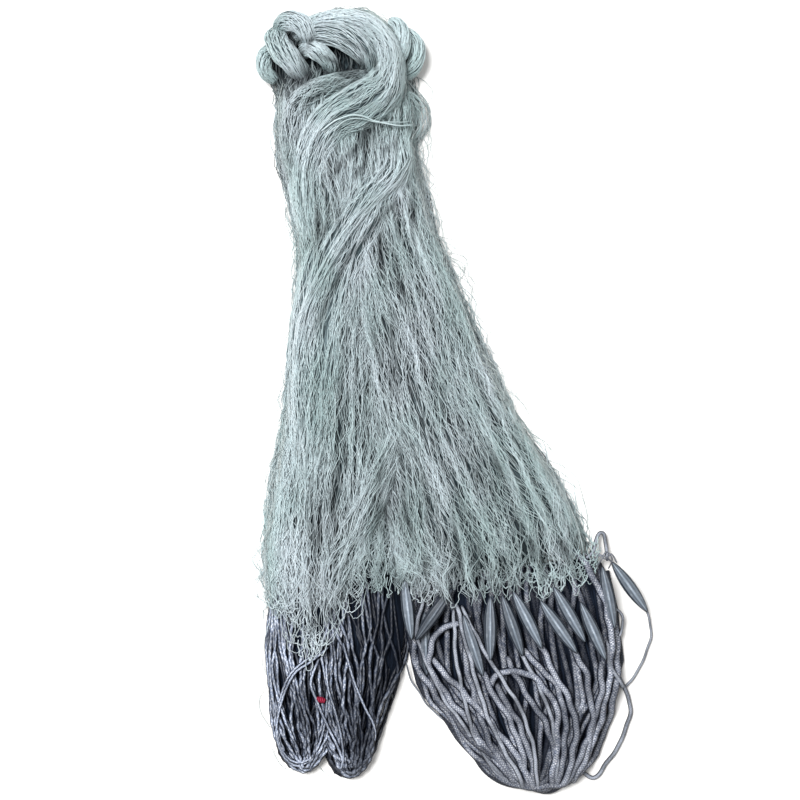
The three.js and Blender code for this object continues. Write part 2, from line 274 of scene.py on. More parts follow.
def attach(piece: bpy.types.Object, material: bpy.types.Material, slot: Slot | None, *nodes: str) -> None:
    """Dresses a piece, lets it ride on the hank, hides the solids that it stands for and reports it.

    Args:
        piece: The finished object.
        material: Its only material.
        slot: The record's slot, which is not used.
        nodes: The solids that it stands for.
    """
    piece.data.materials.append(material)
    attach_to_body(piece, BODY)
    if nodes:
        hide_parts(*nodes)
    triangles = sum(len(face.vertices) - 2 for face in piece.data.polygons)
    LOG.info("piece %s: %d triangles", piece.name, triangles)


@dataclass(frozen=True)
class Wire:
    """One output of a shader node, with arithmetic that adds Math nodes."""

    graph: Graph
    socket: bpy.types.NodeSocket

    def maths(self, operation: Maths, *values: Any) -> Wire:
        """A Math node of these values."""
        return self.graph.node("ShaderNodeMath", {"operation": operation.value}, dict(enumerate(values)))

    def __add__(self, other: Any) -> Wire:
        """This value plus another."""
        return self.maths(Maths.ADD, self, other)

    def __radd__(self, other: Any) -> Wire:
        """Another value plus this one."""
        return self.maths(Maths.ADD, other, self)

    def __sub__(self, other: Any) -> Wire:
        """This value less another."""
        return self.maths(Maths.SUBTRACT, self, other)

    def __rsub__(self, other: Any) -> Wire:
        """Another value less this one."""
        return self.maths(Maths.SUBTRACT, other, self)

    def __mul__(self, other: Any) -> Wire:
        """This value times another."""
        return self.maths(Maths.MULTIPLY, self, other)

    def __rmul__(self, other: Any) -> Wire:
        """Another value times this one."""
        return self.maths(Maths.MULTIPLY, other, self)

    def sine(self) -> Wire:
        """The sine of this value."""
        return self.maths(Maths.SINE, self)

    def between(self, low: float, high: float) -> Wire:
        """A smooth step from 0 at low to 1 at high."""
        inputs = {"Value": self, "From Min": low, "From Max": high}
        return self.graph.node("ShaderNodeMapRange", {"interpolation_type": "SMOOTHSTEP"}, inputs)

    def dimmed(self, low: float, high: float, depth: float) -> Wire:
        """A smooth step from one less the depth at low to 1 at high."""
        return self.between(low, high) * depth + (1 - depth)


class Graph:
    """The node tree of one new material with a Principled shader."""

    def __init__(self, name: str) -> None:
        """Starts a material.

        Args:
            name: The material's name.
        """
        self.material = bpy.data.materials.new(name)
        self.material.use_nodes = True
        self.tree = self.material.node_tree
        self.shader = self.tree.nodes["Principled BSDF"]

    def node(self, kind: str, settings: dict[str, Any], inputs: dict[Any, Any], output: Any = 0) -> Wire:
        """Adds a node.

        Args:
            kind: The node's type.
            settings: Its own properties, set first.
            inputs: Values or wires by socket name or number.
            output: Name or number of the output that is wanted.

        Returns:
            That output.
        """
        node = self.tree.nodes.new(kind)
        for key, value in settings.items():
            setattr(node, key, value)
        for key, value in inputs.items():
            self.feed(node.inputs[key], value)
        return Wire(self, node.outputs[output])

    def feed(self, socket: bpy.types.NodeSocket, value: Any) -> None:
        """Links a wire to a socket, or sets the socket's own value.

        Args:
            socket: What is fed.
            value: A wire, a number, a vector or a colour without its alpha.
        """
        if isinstance(value, Wire):
            self.tree.links.new(value.socket, socket)
        elif isinstance(value, tuple) and socket.type == "RGBA":
            socket.default_value = (*value, 1.0)
        else:
            socket.default_value = value

    def place(self, map_name: str) -> Wire:
        """The place on a UV map."""
        return self.node("ShaderNodeUVMap", {"uv_map": map_name}, {})

    def part(self, vector: Wire, axis: str) -> Wire:
        """The X, Y or Z part of a vector."""
        return self.node("ShaderNodeSeparateXYZ", {}, {0: vector}, axis)

    def stretch(self, vector: Wire, x: float, y: float) -> Wire:
        """A vector with its first two parts multiplied."""
        return self.node("ShaderNodeVectorMath", {"operation": "MULTIPLY"}, {0: vector, 1: (x, y, 1.0)})

    def tone(self) -> Wire:
        """The lightness kept on the mesh's points."""
        return self.node("ShaderNodeAttribute", {"attribute_name": TONE}, {}, "Fac")

    def spot(self) -> Wire:
        """The place in the object, in metres."""
        return self.node("ShaderNodeTexCoord", {}, {}, "Object")

    def noise(self, vector: Wire, detail: float, scale: float = 1.0) -> Wire:
        """Noise from 0 to 1."""
        inputs = {"Vector": vector, "Scale": scale, "Detail": detail}
        return self.node("ShaderNodeTexNoise", {}, inputs, "Fac")

    def mix(self, share: Any, first: Any, second: Any, blend: Blend = Blend.MIX) -> Wire:
        """A colour between two others, or the first blended with the second."""
        inputs = {"Factor": share, 6: first, 7: second}
        return self.node("ShaderNodeMix", {"data_type": "RGBA", "blend_type": blend.value}, inputs, 2)

    def bump(self, height: Wire, distance: float) -> Wire:
        """A normal raised by a height, by up to a distance in metres."""
        return self.node("ShaderNodeBump", {}, {"Height": height, "Distance": distance, "Strength": 1.0})

    def finish(self, **inputs: Any) -> bpy.types.Material:
        """Feeds the shader.

        Args:
            inputs: Values or wires by the shader's socket names, with underscores for spaces.

        Returns:
            The finished material.
        """
        for key, value in inputs.items():
            self.feed(self.shader.inputs[key.replace("_", " ")], value)
        return self.material


@dataclass(frozen=True)
class ThreadFinish:
    """Satin twine: its colour runs from shade to light with its tone, which holds painted light and shade,
    flecked, and tinted in places.
    """

    name: str
    shade: Colour
    light: Colour
    fleck: Colour
    tint: Colour = (1.0, 1.0, 1.0)
    roughness: float = 0.45
    specular: float = 0.2
    fleck_cells: Span = (60.0, 900.0)  # cells of the flecks' noise along and across the bake map
    fleck_edge: Span = (0.45, 0.75)  # noise at which a fleck begins and is whole
    fleck_share: float = 0.55  # how far flecks change the lightest threads
    tint_cells: float = 20.0  # cells of the tint's noise in a metre
    tint_draw: float = 0.45  # share of those cells in a metre along +Y
    tint_edge: Span = (0.3, 0.7)  # noise at which the tint begins and is whole

    def material(self) -> bpy.types.Material:
        """Flecks are noise drawn along the thread, fewer where it is dark, and the tint is broad noise.

        Returns:
            The material.
        """
        graph = Graph(self.name)
        drawn = graph.stretch(graph.place(BAKE_MAP), *self.fleck_cells)
        streak = graph.noise(drawn, detail=1.0).between(*self.fleck_edge)
        spot = graph.stretch(graph.spot(), 1.0, self.tint_draw)
        broad = graph.noise(spot, detail=2.0, scale=self.tint_cells).between(*self.tint_edge)
        tone = graph.tone()
        base = graph.mix(tone, self.shade, self.light)
        tinted = graph.mix(broad, base, self.tint, Blend.MULTIPLY)
        colour = graph.mix(streak * tone * self.fleck_share, tinted, self.fleck)
        return graph.finish(Base_Color=colour, Roughness=self.roughness, Specular_IOR_Level=self.specular)


@dataclass(frozen=True)
class UnderlayFinish:
    """The mass that shows between the outer threads or cords, dark with painted shade and streaked along the
    bundle.
    """

    name: str
    deep: Colour
    shallow: Colour
    roughness: float = 0.8
    specular: float = 0.05
    cells: Span = (18.0, 130.0)  # cells of the streaks' noise along and across the bake map
    edge: Span = (0.3, 0.7)  # noise at which a streak begins and is whole
    relief: float = 0.0012  # height of the streaks, in metres

    def material(self) -> bpy.types.Material:
        """Streaks are noise stretched along the bundle, used for both the colour and the bump.

        Returns:
            The material.
        """
        graph = Graph(self.name)
        streak = graph.noise(graph.stretch(graph.place(BAKE_MAP), *self.cells), detail=3.0)
        return graph.finish(
            Base_Color=graph.mix(streak.between(*self.edge) * graph.tone(), self.deep, self.shallow),
            Roughness=self.roughness,
            Specular_IOR_Level=self.specular,
            Normal=graph.bump(streak, self.relief),
        )


@dataclass(frozen=True)
class BraidFinish:
    """Braided cord: strands that cross both ways, painted highlights on the crests, and painted shade on the
    flanks.
    """

    name: str
    # Colour of the painted shade and of the darkest wear.
    shade_and_wear: Colour
    yarn: Colour
    # Colour of the painted highlights on the crests.
    crest: Colour
    strands: int = 6
    crest_share: float = 0.9  # how far the crests turn to the painted highlight's colour
    relief: float = 0.0006  # height of the strands, in metres
    crevice: float = 0.35  # painted shade: how dark it is between the strands
    slack: float = 1.3  # how far noise shifts the crossings along the cord
    flank: Span = (0.45, 1.0)  # cosines from the top at which the painted shade on the flank is deepest and at which it ends
    roughness: float = 0.5
    specular: float = 0.25
    wear_cells: Span = (260.0, 190.0)  # cells of the wear's noise along and across the bake map
    blotch_cells: float = 45.0  # cells of the blotches' noise in a metre
    crest_edge: Span = (0.05, 0.6)  # heights at which the crests are dullest and brightest
    crest_depth: float = 0.6  # how dull they get
    fleck_edge: Span = (0.36, 0.6)  # wear at which a fleck begins and is whole
    crevice_edge: Span = (0.0, 0.3)  # heights at which the crevices are darkest and end
    blotch_edge: Span = (0.38, 0.6)  # noise at which the blotches are darkest and end
    blotch_depth: float = 0.5  # how dark the blotches are
    wear_edge: Span = (0.25, 0.5)  # noise at which the wear is darkest and ends
    wear_depth: float = 0.45  # how dark the wear is

    def material(self) -> bpy.types.Material:
        """The braid's height is the product of two raised sines, which lean opposite ways round the cord.

        The flanks take painted shade by the cosine of the angle from the top, a cord of low tone takes it all
        over, the crevices between strands take it too, and noise breaks the painted highlights up, wears the
        cord and darkens it in broad blotches.

        Returns:
            The material.
        """
        graph = Graph(self.name)
        place = graph.place(BRAID_MAP)
        along = graph.part(place, "X")
        around = graph.part(place, "Y")
        wear = graph.noise(graph.stretch(graph.place(BAKE_MAP), *self.wear_cells), detail=2.0)
        blotch = graph.noise(graph.spot(), detail=2.0, scale=self.blotch_cells)
        slack = along + wear * self.slack
        one = ((around * self.strands + slack) * TURN).sine() * 0.5 + 0.5
        other = ((around * self.strands - slack) * TURN).sine() * 0.5 + 0.5
        height = one * other
        # Painted shade on the flanks, by the cosine of the angle from the top; it also limits the painted
        # highlights.
        top = (around * TURN + math.pi / 2).sine().between(*self.flank)
        crests = height.dimmed(*self.crest_edge, self.crest_depth)
        # Painted highlights on the crests that face up.
        lit = crests * wear.between(*self.fleck_edge) * top * self.crest_share
        highlit_yarn = graph.mix(lit, self.yarn, self.crest)
        # Painted shade in the crevices, then darker blotches and wear.
        darkening = height.dimmed(*self.crevice_edge, self.crevice)
        darkening = darkening * blotch.dimmed(*self.blotch_edge, self.blotch_depth)
        darkening = darkening * wear.dimmed(*self.wear_edge, self.wear_depth)
        return graph.finish(
            Base_Color=graph.mix(top * graph.tone() * darkening, self.shade_and_wear, highlit_yarn),
            Roughness=self.roughness,
            Specular_IOR_Level=self.specular,
            Normal=graph.bump(height, self.relief),
        )


@dataclass(frozen=True)
class FoamFinish:
    """Moulded foam with a satin skin, with painted light and shade from its tone, streaked and scuffed."""

    name: str
    shade_and_streaks: Colour
    base: Colour
    scuff: Colour
    roughness: float = 0.36
    scuff_roughness: float = 0.2  # how much rougher the scuffs are
    specular: float = 0.4
    streak_cells: Span = (5.0, 60.0)  # cells of the streaks' noise along and across the bake map
    streak_edge: Span = (0.3, 0.65)  # noise at which a streak is darkest and ends
    streak_depth: float = 0.35  # how dark the streaks are
    scuff_cells: Span = (14.0, 9.0)  # cells of the scuffs' noise along and across the bake map
    scuff_edge: Span = (0.5, 0.7)  # noise at which a scuff begins and is whole
    scuff_share: float = 0.35  # how far a scuff turns to its own colour
    relief: float = 0.0004  # height of the streaks, in metres

    def material(self) -> bpy.types.Material:
        """The tone, which holds painted light and shade, runs from the shade colour to base. Streaks are
        noise drawn along the spindle, scuffs broad noise.

        Returns:
            The material.
        """
        graph = Graph(self.name)
        place = graph.place(BAKE_MAP)
        drawn = graph.noise(graph.stretch(place, *self.streak_cells), detail=3.0)
        broad = graph.noise(graph.stretch(place, *self.scuff_cells), detail=4.0)
        # Painted light and shade from the tone, with darker streaks.
        light_and_streaks = graph.tone() * drawn.dimmed(*self.streak_edge, self.streak_depth)
        base = graph.mix(light_and_streaks, self.shade_and_streaks, self.base)
        scuffed = broad.between(*self.scuff_edge) * self.scuff_share * light_and_streaks
        return graph.finish(
            Base_Color=graph.mix(scuffed, base, self.scuff),
            Roughness=self.roughness + self.scuff_roughness * broad,
            Specular_IOR_Level=self.specular,
            Normal=graph.bump(drawn, self.relief),
        )


NETTING = ThreadFinish("netting_twine", srgb("182026"), srgb("ccd8de"), srgb("eef4f5"), srgb("d6e3de"))
STRAY = ThreadFinish("stray_twine", srgb("8b9899"), srgb("c5cfcf"), srgb("e0e7e7"))
# The underlays' deep colours are painted shade in the depth of the netting and the heaps.
UNDERLAY = UnderlayFinish("netting_underlay", srgb("151f24"), srgb("8a9ca1"))
HEAP_UNDERLAY = UnderlayFinish("rope_underlay", srgb("0a0e16"), srgb("1c2533"))
FLOAT_BRAID = BraidFinish(
    "float_rope_braid", shade_and_wear=srgb("0b1220"), yarn=srgb("98a2b8"), crest=srgb("f8faff"),
    crest_share=0.95, relief=0.0008, crevice=0.55,
)
FLOAT_CORD = BraidFinish(
    "float_rope_smooth", shade_and_wear=srgb("0f121a"), yarn=srgb("9aa2b1"), crest=srgb("e4e8f0"),
    strands=7, crest_share=0.8, relief=0.0004,
)
LEAD_BRAID = BraidFinish(
    "lead_line_braid", shade_and_wear=srgb("080d19"), yarn=srgb("95a4c0"), crest=srgb("f6f9fe"),
    strands=3, crest_share=0.8, relief=0.0003, slack=0.7,
)
FOAM = FoamFinish("float_foam", srgb("0b1420"), srgb("96a2af"), srgb("ced5dc"))
RED_THREAD = ThreadFinish("marking_thread", srgb("5e0e22"), srgb("9c1f3c"), srgb("b64d66"))


@dataclass
class Tubes:
    """Threads or ropes of round section, all with as many points, joined in one mesh."""

    paths: Array  # places, of shape (tubes, points, 3)
    radius: Array  # of shape (tubes, points)
    sides: int
    tone: Array  # lightness, of shape (tubes, points)
    pitch: float = 3.0  # length of one crossing of the braid

    def rings(self) -> Array:
        """Each ring is its middle plus the radius times a cosine sideways and a sine upwards.

        Returns:
            Places, of shape (tubes, points, sides, 3).
        """
        ahead = unit(np.gradient(self.paths, axis=1))
        sideways = unit(np.cross(ahead, (0.0, 0.0, 1.0)) + NUDGE)
        upwards = np.cross(sideways, ahead)
        angle = np.pi / 2 + TURN * np.arange(self.sides) / self.sides
        out = sideways[:, :, None] * np.cos(angle)[:, None] + upwards[:, :, None] * np.sin(angle)[:, None]
        return self.paths[:, :, None] + self.radius[:, :, None, None] * out

    def faces(self) -> list[Array]:
        """Quads along every tube and a flat cap on each of its ends.

        Returns:
            Point numbers of the quads and of the caps.
        """
        tubes, points, _ = self.paths.shape
        number = np.arange(tubes * points * self.sides).reshape(tubes, points, self.sides)
        turned = np.roll(number, -1, axis=2)
        quads = [number[:, :-1], number[:, 1:], turned[:, 1:], turned[:, :-1]]
        caps = np.concatenate([number[:, 0], number[:, -1, ::-1]])
        return [np.stack(quads, -1).reshape(-1, 4), caps]

    def map_places(self, along: Array, across: Array) -> list[Array]:
        """UV places of the faces, each from the point that it starts at and the side line beside it.

        Args:
            along: First part of the place, for every point of every tube.
            across: Second part, for every side line of every tube and the first line once more.

        Returns:
            Places of the quads and of the caps.
        """
        first = along[:, :, None] + np.zeros(self.sides)
        near = across[:, None, :-1] + np.zeros_like(first)
        far = across[:, None, 1:] + np.zeros_like(first)
        ends = [(first[:, :-1], near[:, :-1]), (first[:, 1:], near[:, 1:])]
        ends += [(first[:, 1:], far[:, 1:]), (first[:, :-1], far[:, :-1])]
        quads = np.stack([np.stack(end, -1) for end in ends], -2).reshape(-1, 4, 2)
        caps = [np.stack([first[:, 0], near[:, 0]], -1), np.stack([first[:, -1], near[:, -1, ::-1]], -1)]
        return [quads, np.concatenate(caps)]

    def shape(self) -> Shape:
        """The tubes' mesh, with a row each on the bake map, and lengths and angles on the braid map.

        Returns:
            The shape.
        """
        tubes, points, _ = self.paths.shape
        share = np.broadcast_to(np.linspace(0.0, 1.0, points), (tubes, points))
        lines = np.arange(self.sides + 1) / self.sides
        rows = (np.arange(tubes)[:, None] + ROW_MARGIN + (1 - 2 * ROW_MARGIN) * lines) / tubes
        steps = np.linalg.norm(np.diff(self.paths, axis=1), axis=-1)
        length = np.concatenate([np.zeros((tubes, 1)), np.cumsum(steps, 1)], 1)
        braid = self.map_places(length / self.pitch, np.broadcast_to(lines, rows.shape))
        maps = {BAKE_MAP: self.map_places(share, rows), BRAID_MAP: braid}
        tone = np.clip(self.tone, 0.0, 1.0)[:, :, None] + np.zeros(self.sides)
        return Shape(self.rings().reshape(-1, 3), self.faces(), maps, tone.ravel())

    @staticmethod
    def joined(parts: list[Tubes]) -> Tubes:
        """Several sets of tubes as one set.

        Args:
            parts: Sets with as many points and sides.

        Returns:
            The one set, with the first one's pitch.
        """
        paths = np.concatenate([part.paths for part in parts])
        radius = np.concatenate([part.radius for part in parts])
        tone = np.concatenate([part.tone for part in parts])
        return Tubes(paths, radius, parts[0].sides, tone, parts[0].pitch)


@dataclass
class Draw:
    """Random draws for a set of threads."""

    rng: np.random.Generator
    count: int
    points: int

    def each(self, low: float, high: float) -> Array:
        """One number for every thread."""
        return self.rng.uniform(low, high, (self.count, 1))

    def wave(self, run: Array, low: float, high: float) -> Array:
        """A sine along every thread, with a wavelength from low to high and a start of its own."""
        return np.sin(TURN * (run / self.each(low, high) + self.each(0.0, 1.0)))

    def crinkle(self) -> Array:
        """Offsets of about unit spread at every point, evened out with their neighbours."""
        raw = self.rng.normal(0.0, CRINKLE_SPREAD, (self.count, self.points + 2))
        return 0.5 * raw[:, 1:-1] + 0.25 * (raw[:, :-2] + raw[:, 2:])


# Slits and hollows of the netting, where painted shade darkens its threads: the rows that patched() takes.
NET_PATCHES: Rows = (
    # between the turns of the head
    (-144, 360, 2.5, 9, 28, -0.9),
    (-162, 357, 2, 8, -45, -0.8),
    (-154, 345, 2, 6, 0, -0.8),
    (-148, 328, 4, 7, -40, -0.9),
    (-158, 321, 4, 9, -70, -0.8),
    (-177, 330, 2, 10, -45, -0.8),
    (-170, 313, 2.5, 8, 0, -0.8),
    (-122, 340, 2, 15, -72, -0.85),
    (-111, 330, 8, 9, 0, -0.85),
    (-100, 327, 5, 8, 0, -0.6),
    (-91, 332, 2, 9, -20, -0.8),
    (-81, 336, 2, 9, -10, -0.75),
    (-107, 356, 1.8, 7, -60, -0.75),
    (-91, 349, 1.8, 8, -45, -0.75),
    # between the locks of the upper sweep
    (-100, 302, 1.5, 6, 45, -0.7),
    (-65, 302, 1.5, 7, 50, -0.7),
    (-108, 286, 1.5, 6, 45, -0.7),
    (-98, 283, 2.5, 5, 40, -0.6),
    (-91, 295, 1.5, 7, 75, -0.6),
    (-66, 282, 1.5, 9, 70, -0.7),
    # in the hollow under the upper sweep
    (-87, 270, 4, 9, 70, -0.95),
    (-93, 261, 4, 10, 20, -0.75),
    (-102, 250, 3, 8, 30, -0.9),
    (-117, 233, 2.5, 11, 32, -0.9),
    (-84, 261, 5, 9, 0, -0.35),
    (-60, 257, 2.5, 9, 10, -0.75),
    (-68, 253, 1.8, 7, 48, -0.65),
    (-97, 229, 2.5, 6, 25, -0.8),
    # to the left and right of the diagonal band
    (-138, 172, 2.5, 20, 0, -0.8),
    (-130, 173, 2.2, 11, 18, -0.75),
    (-117, 182, 2.2, 14, 0, -0.75),
    (-43, 188, 2.8, 16, 0, -0.85),
    # in the shade along the lower edge of the diagonal band
    (-68, 190, 3, 12, 42, -0.75),
    (-86, 170, 3, 14, 40, -0.7),
    (-105, 145, 3, 14, 36, -0.9),
    (-118, 121, 3, 15, 28, -0.8),
    (-133, 88, 3, 20, 22, -0.7),
    # along the inner edge of the left fan
    (-75, 150, 3, 16, -4, -0.9),
    (-55, 114, 2.5, 12, -18, -0.9),
    (-63, 73, 4, 18, 0, -0.4),
    (-62, 33, 5, 22, 0, -0.3),
    # between the locks of the left fan
    (-110, -58, 2, 12, 0, -0.7),
    (-124, -102, 3, 16, 0, -0.7),
    (-76, -73, 2.5, 15, 10, -0.7),
    (-54, -58, 2, 18, -8, -0.7),
    (-48, -120, 2.5, 18, -20, -0.7),
    (-138, -131, 8, 14, 0, -0.4),
    (-72, -115, 10, 18, 0, -0.5),
    # between the locks of the right fan
    (42, -63, 2, 14, -25, -0.8),
    (19, -68, 6, 18, -20, -0.3),
    (0, -133, 2, 22, -12, -0.8),
    (62, -125, 2, 13, -20, -0.8),
    (76, -145, 3, 10, -15, -0.95),
    # between the bunches at its hem
    (-31, -163, 3, 10, 0, -0.85),
    (4, -158, 2.5, 12, -6, -0.85),
    (18, -155, 2.5, 12, -8, -0.85),
    (46, -163, 3, 10, -10, -0.85),
    (88, -160, 3, 9, -20, -0.85),
    (109, -147, 3, 12, -25, -0.85),
)
NET_KEEP = 0.45  # share of a hollow's shade that the palest threads withstand
NET_POWER = 2.2  # how steeply the hollows darken
OPEN_SHADE = 0.09  # lightness of the darkest threads outside the hollows


def hollowed(tone: Array, places: Array, patches: Rows) -> Array:
    """Lightness of netting threads, raised to open shade and then darkened by painted shade in the hollows.
    """
    raised = OPEN_SHADE + (1 - OPEN_SHADE) * np.clip(tone, 0.0, 1.0)
    return patched(raised, places, patches, NET_KEEP, NET_POWER)


@dataclass(frozen=True)
class Weave:
    """One layer of a bundle's threads: how many, how they wander, how deep they lie and their lightness."""

    count: int
    points: int  # points along each
    depth: Span  # rise over the dome
    sway: float  # how far they sway to each side
    crinkle: float  # spread of their random offsets
    lace: Span  # how far they cross their neighbours
    radius: Span
    tone: Span
    start: Span = (0.0, 0.03)  # shares at which they begin
    glints: float = 0.14  # share of them with a painted glint along their whole length
    glint_light: float = 0.35  # how much lighter those are
    sway_wave: Span = (180, 320)  # wavelengths of the sway
    weak_wave: Span = (80, 140)  # wavelengths of a weaker sway on top of it
    weak_share: float = 0.5  # strength of the weaker sway
    lace_wave: Span = (30, 56)  # wavelengths of the crossings
    crinkle_rise: float = 0.5  # share of the crinkle that goes up and down
    outermost: float = 0.95  # side beyond which they hang down the bundle's flank
    swell: float = 0.12  # how much their thickness changes
    swell_wave: Span = (20, 40)  # wavelengths of the thickness
    crest_light: float = 0.06  # painted light on the crests and painted shade in the furrows: how much lighter they are for each millimetre of the crests
    tone_swing: float = 0.08  # how much their lightness changes along them
    tone_wave: Span = (60, 140)  # wavelengths of the lightness


@dataclass(frozen=True)
class Skin:
    """How a closed skin lies inside a bundle."""

    inset: float  # how far it lies under the dome
    edge: float  # how far it lies inside the bundle's sides
    steps: int  # sections along it
    across: int  # points over its dome
    tuck: float = 14.0  # how far its end goes down where threads hang over it
    tuck_start: float = 0.94  # share at which it begins to go down
    tuck_reach: float = 0.06  # share in which it goes down


@dataclass(frozen=True)
class Bundle:
    """A bundle that lies on the ground. Its rows hold a section's middle, half width and crown height."""

    name: str
    rows: Rows
    locks: float = 1.0  # how many locks lie across it
    fine: float = 8.0  # how many fine locks
    wander: float = 0.0  # how many locks' width the locks drift
    relief: float = 0.0  # height of the locks
    fine_relief: float = 0.0  # height of the fine locks
    crowd: float = 0.5  # how far threads crowd together on the locks
    clump: float = 0.75  # how far threads crowd together on the fine locks
    hem: Rows = ((-1.0, 1.0), (1.0, 1.0))  # sides and the share at which threads end there
    ragged: float = 0.0  # how unevenly they end
    ragged_past: float = 0.3  # share of the unevenness that is past the hem
    knots: float = 0.0  # how many bunches the threads are drawn into at the hem
    knot_pull: float = 0.55  # how tightly
    knot_reach: float = 0.06  # share before their ends in which they are drawn together
    scallop: float = 0.0  # how much further the bunches hang than the threads between them
    slack: float = 1.6  # how much more the threads of bunches crinkle
    slack_reach: float = 0.13  # share before their ends in which they do
    body_end: float = 1.0  # share at which the shaded mass ends
    root: float = 0.0  # painted shade: how much darker threads are where they begin
    root_reach: float = 0.09  # share in which they get lighter
    flank: float = 0.0  # painted shade: how much darker they are on the bundle's sides
    flank_power: int = 4  # how close to the sides that is
    painted_light: float = 0.0  # painted light: how much paler they are towards the hem on the first side
    painted_light_side: Span = (-0.3, 0.5)  # side at which that begins, and the width in which it grows
    painted_light_ramp: Span = (3.0, 1.3)  # slope and offset of its growth along the bundle
    light: float = 1.0  # painted light and shade: lightness of the shaded mass and of ropes where it begins
    hem_light: float = 1.0  # and where it ends
    patches: Rows = NET_PATCHES  # where painted shade darkens its threads

    def section(self, share: Array) -> tuple[Array, Array]:
        """Values and slopes of the rows at a share."""
        return faired(np.array(self.rows), share)

    def lock(self, share: Array, side: Array) -> Array:
        """Phase of the locks across the bundle, whole on their crests, drifting in two sines."""
        waves = ((self.wander, *LOCK_DRIFT), WEAK_DRIFT)
        return self.locks * (side + 1) / 2 + ripple(share, side, waves)

    def fine_lock(self, share: Array, side: Array) -> Array:
        """Phase of the fine locks, which drift faster."""
        return self.fine * (side + 1) / 2 + ripple(share, side, FINE_DRIFT)

    def crest(self, share: Array, side: Array) -> Array:
        """Height of the locks and the fine locks: cosines of their phases, fading to the bundle's sides.

        Args:
            share: From 0 to 1 along the bundle.
            side: From -1 to 1 across it.

        Returns:
            Heights over the dome.
        """
        fade = np.sqrt(np.maximum(0.0, 1 - side**2))
        coarse = self.relief * np.cos(TURN * self.lock(share, side))
        return fade * (coarse + self.fine_relief * np.cos(TURN * self.fine_lock(share, side)))

    def place(self, share: Array, side: Array, rise: Array | float) -> Array:
        """Places on the bundle.

        A place is the section's middle plus its half width times side, square to the middle line, at the edge
        height plus a dome of the crown height, and lifted by rise.

        Args:
            share: From 0 at the first row to 1 at the last.
            side: From -1 to 1 across the bundle.
            rise: Height above the dome.

        Returns:
            Places with a last axis of three.
        """
        value, slope = self.section(share)
        ahead = unit(slope[..., :2])
        half = value[..., 2]
        top = value[..., 3]
        dome = np.sqrt(np.maximum(0.0, 1 - np.abs(side) ** DOME_POWER))
        x = value[..., 0] - ahead[..., 1] * half * side
        y = value[..., 1] + ahead[..., 0] * half * side
        z = EDGE_HEIGHT + (top - EDGE_HEIGHT) * dome + rise
        return np.stack([x, y, np.maximum(z, LOWEST)], -1)

    def half_width(self, share: Array) -> Array:
        """Half the bundle's width at a share."""
        return self.section(share)[0][..., 2]

    def length(self) -> float:
        """Length of the middle line."""
        line = self.section(np.linspace(0.0, 1.0, MEASURE_POINTS))[0][:, :2]
        return float(np.linalg.norm(np.diff(line, axis=0), axis=1).sum())

    def height_at(self, x: Array, y: Array) -> Array:
        """Height of the dome over a place, for a bundle that runs down -Y.

        The share is read off the rows' middles, and the side is the distance from the middle in half widths.

        Args:
            x: Places along +X.
            y: Places along +Y.

        Returns:
            Heights of the dome there.
        """
        rows = np.array(self.rows)
        share = np.interp(-y, -rows[:, 1], np.linspace(0.0, 1.0, len(rows)))
        value, _ = self.section(share)
        side = np.clip((x - value[..., 0]) / value[..., 2], -1.0, 1.0)
        return EDGE_HEIGHT + (value[..., 3] - EDGE_HEIGHT) * np.sqrt(1 - np.abs(side) ** DOME_POWER)

    def ends(self, side: Array, chance: Array) -> Array:
        """Shares at which threads end: the hem's, further on the bunches as a cosine, and ragged by chance.

        Args:
            side: Each thread's own side.
            chance: A draw from 0 to 1 for each.

        Returns:
            The shares, at most 1.
        """
        hem = np.interp(side, *np.array(self.hem).T)
        scallop = self.scallop * np.cos(np.pi * self.knots * (side + 1))
        return np.minimum(hem + scallop + self.ragged * (self.ragged_past - chance), 1.0)

    def gathered(self, share: Array, side: Array, rest: Array) -> tuple[Array, Array | float]:
        """Draws threads towards the crests of the locks and fine locks, and into the bunches of the hem.

        A thread moves by a part of the sine of the locks' phase, and near its end by the bunches' phase too.

        Args:
            share: From 0 to 1 along the bundle.
            side: From -1 to 1 across it.
            rest: Shares between the places and the threads' ends.

        Returns:
            The new sides, and how many times as much the threads crinkle there.
        """
        coarse = self.crowd / (np.pi * self.locks) * np.sin(TURN * self.lock(share, side))
        fine = self.clump / (np.pi * self.fine) * np.sin(TURN * self.fine_lock(share, side))
        side = side - coarse - fine
        if not self.knots:
            return side, 1.0
        near = np.clip(1 - rest / self.knot_reach, 0.0, 1.0) ** 2
        pull = self.knot_pull * near / (np.pi * self.knots) * np.sin(np.pi * self.knots * (side + 1))
        return side - pull, 1 + self.slack * np.clip(1 - rest / self.slack_reach, 0.0, 1.0)

    def shaded(self, tone: Array, share: Array, side: Array) -> Array:
        """Lightness of threads, with painted shade on the bundle's sides and at its root and painted light
        towards the hem on the first side.

        Args:
            tone: Their own lightness.
            share: From 0 to 1 along the bundle.
            side: From -1 to 1 across it.

        Returns:
            The new lightness.
        """
        begin, width = self.painted_light_side
        slope, offset = self.painted_light_ramp
        tone = tone - self.flank * np.abs(side) ** self.flank_power
        tone = tone - self.root * np.clip(1 - share / self.root_reach, 0.0, 1.0)
        # Painted light, paler towards the hem on the first side.
        painted_light = self.painted_light * np.clip(begin - side, 0.0, width)
        return tone + painted_light * np.clip(slope * share - offset, 0.0, 1.0)

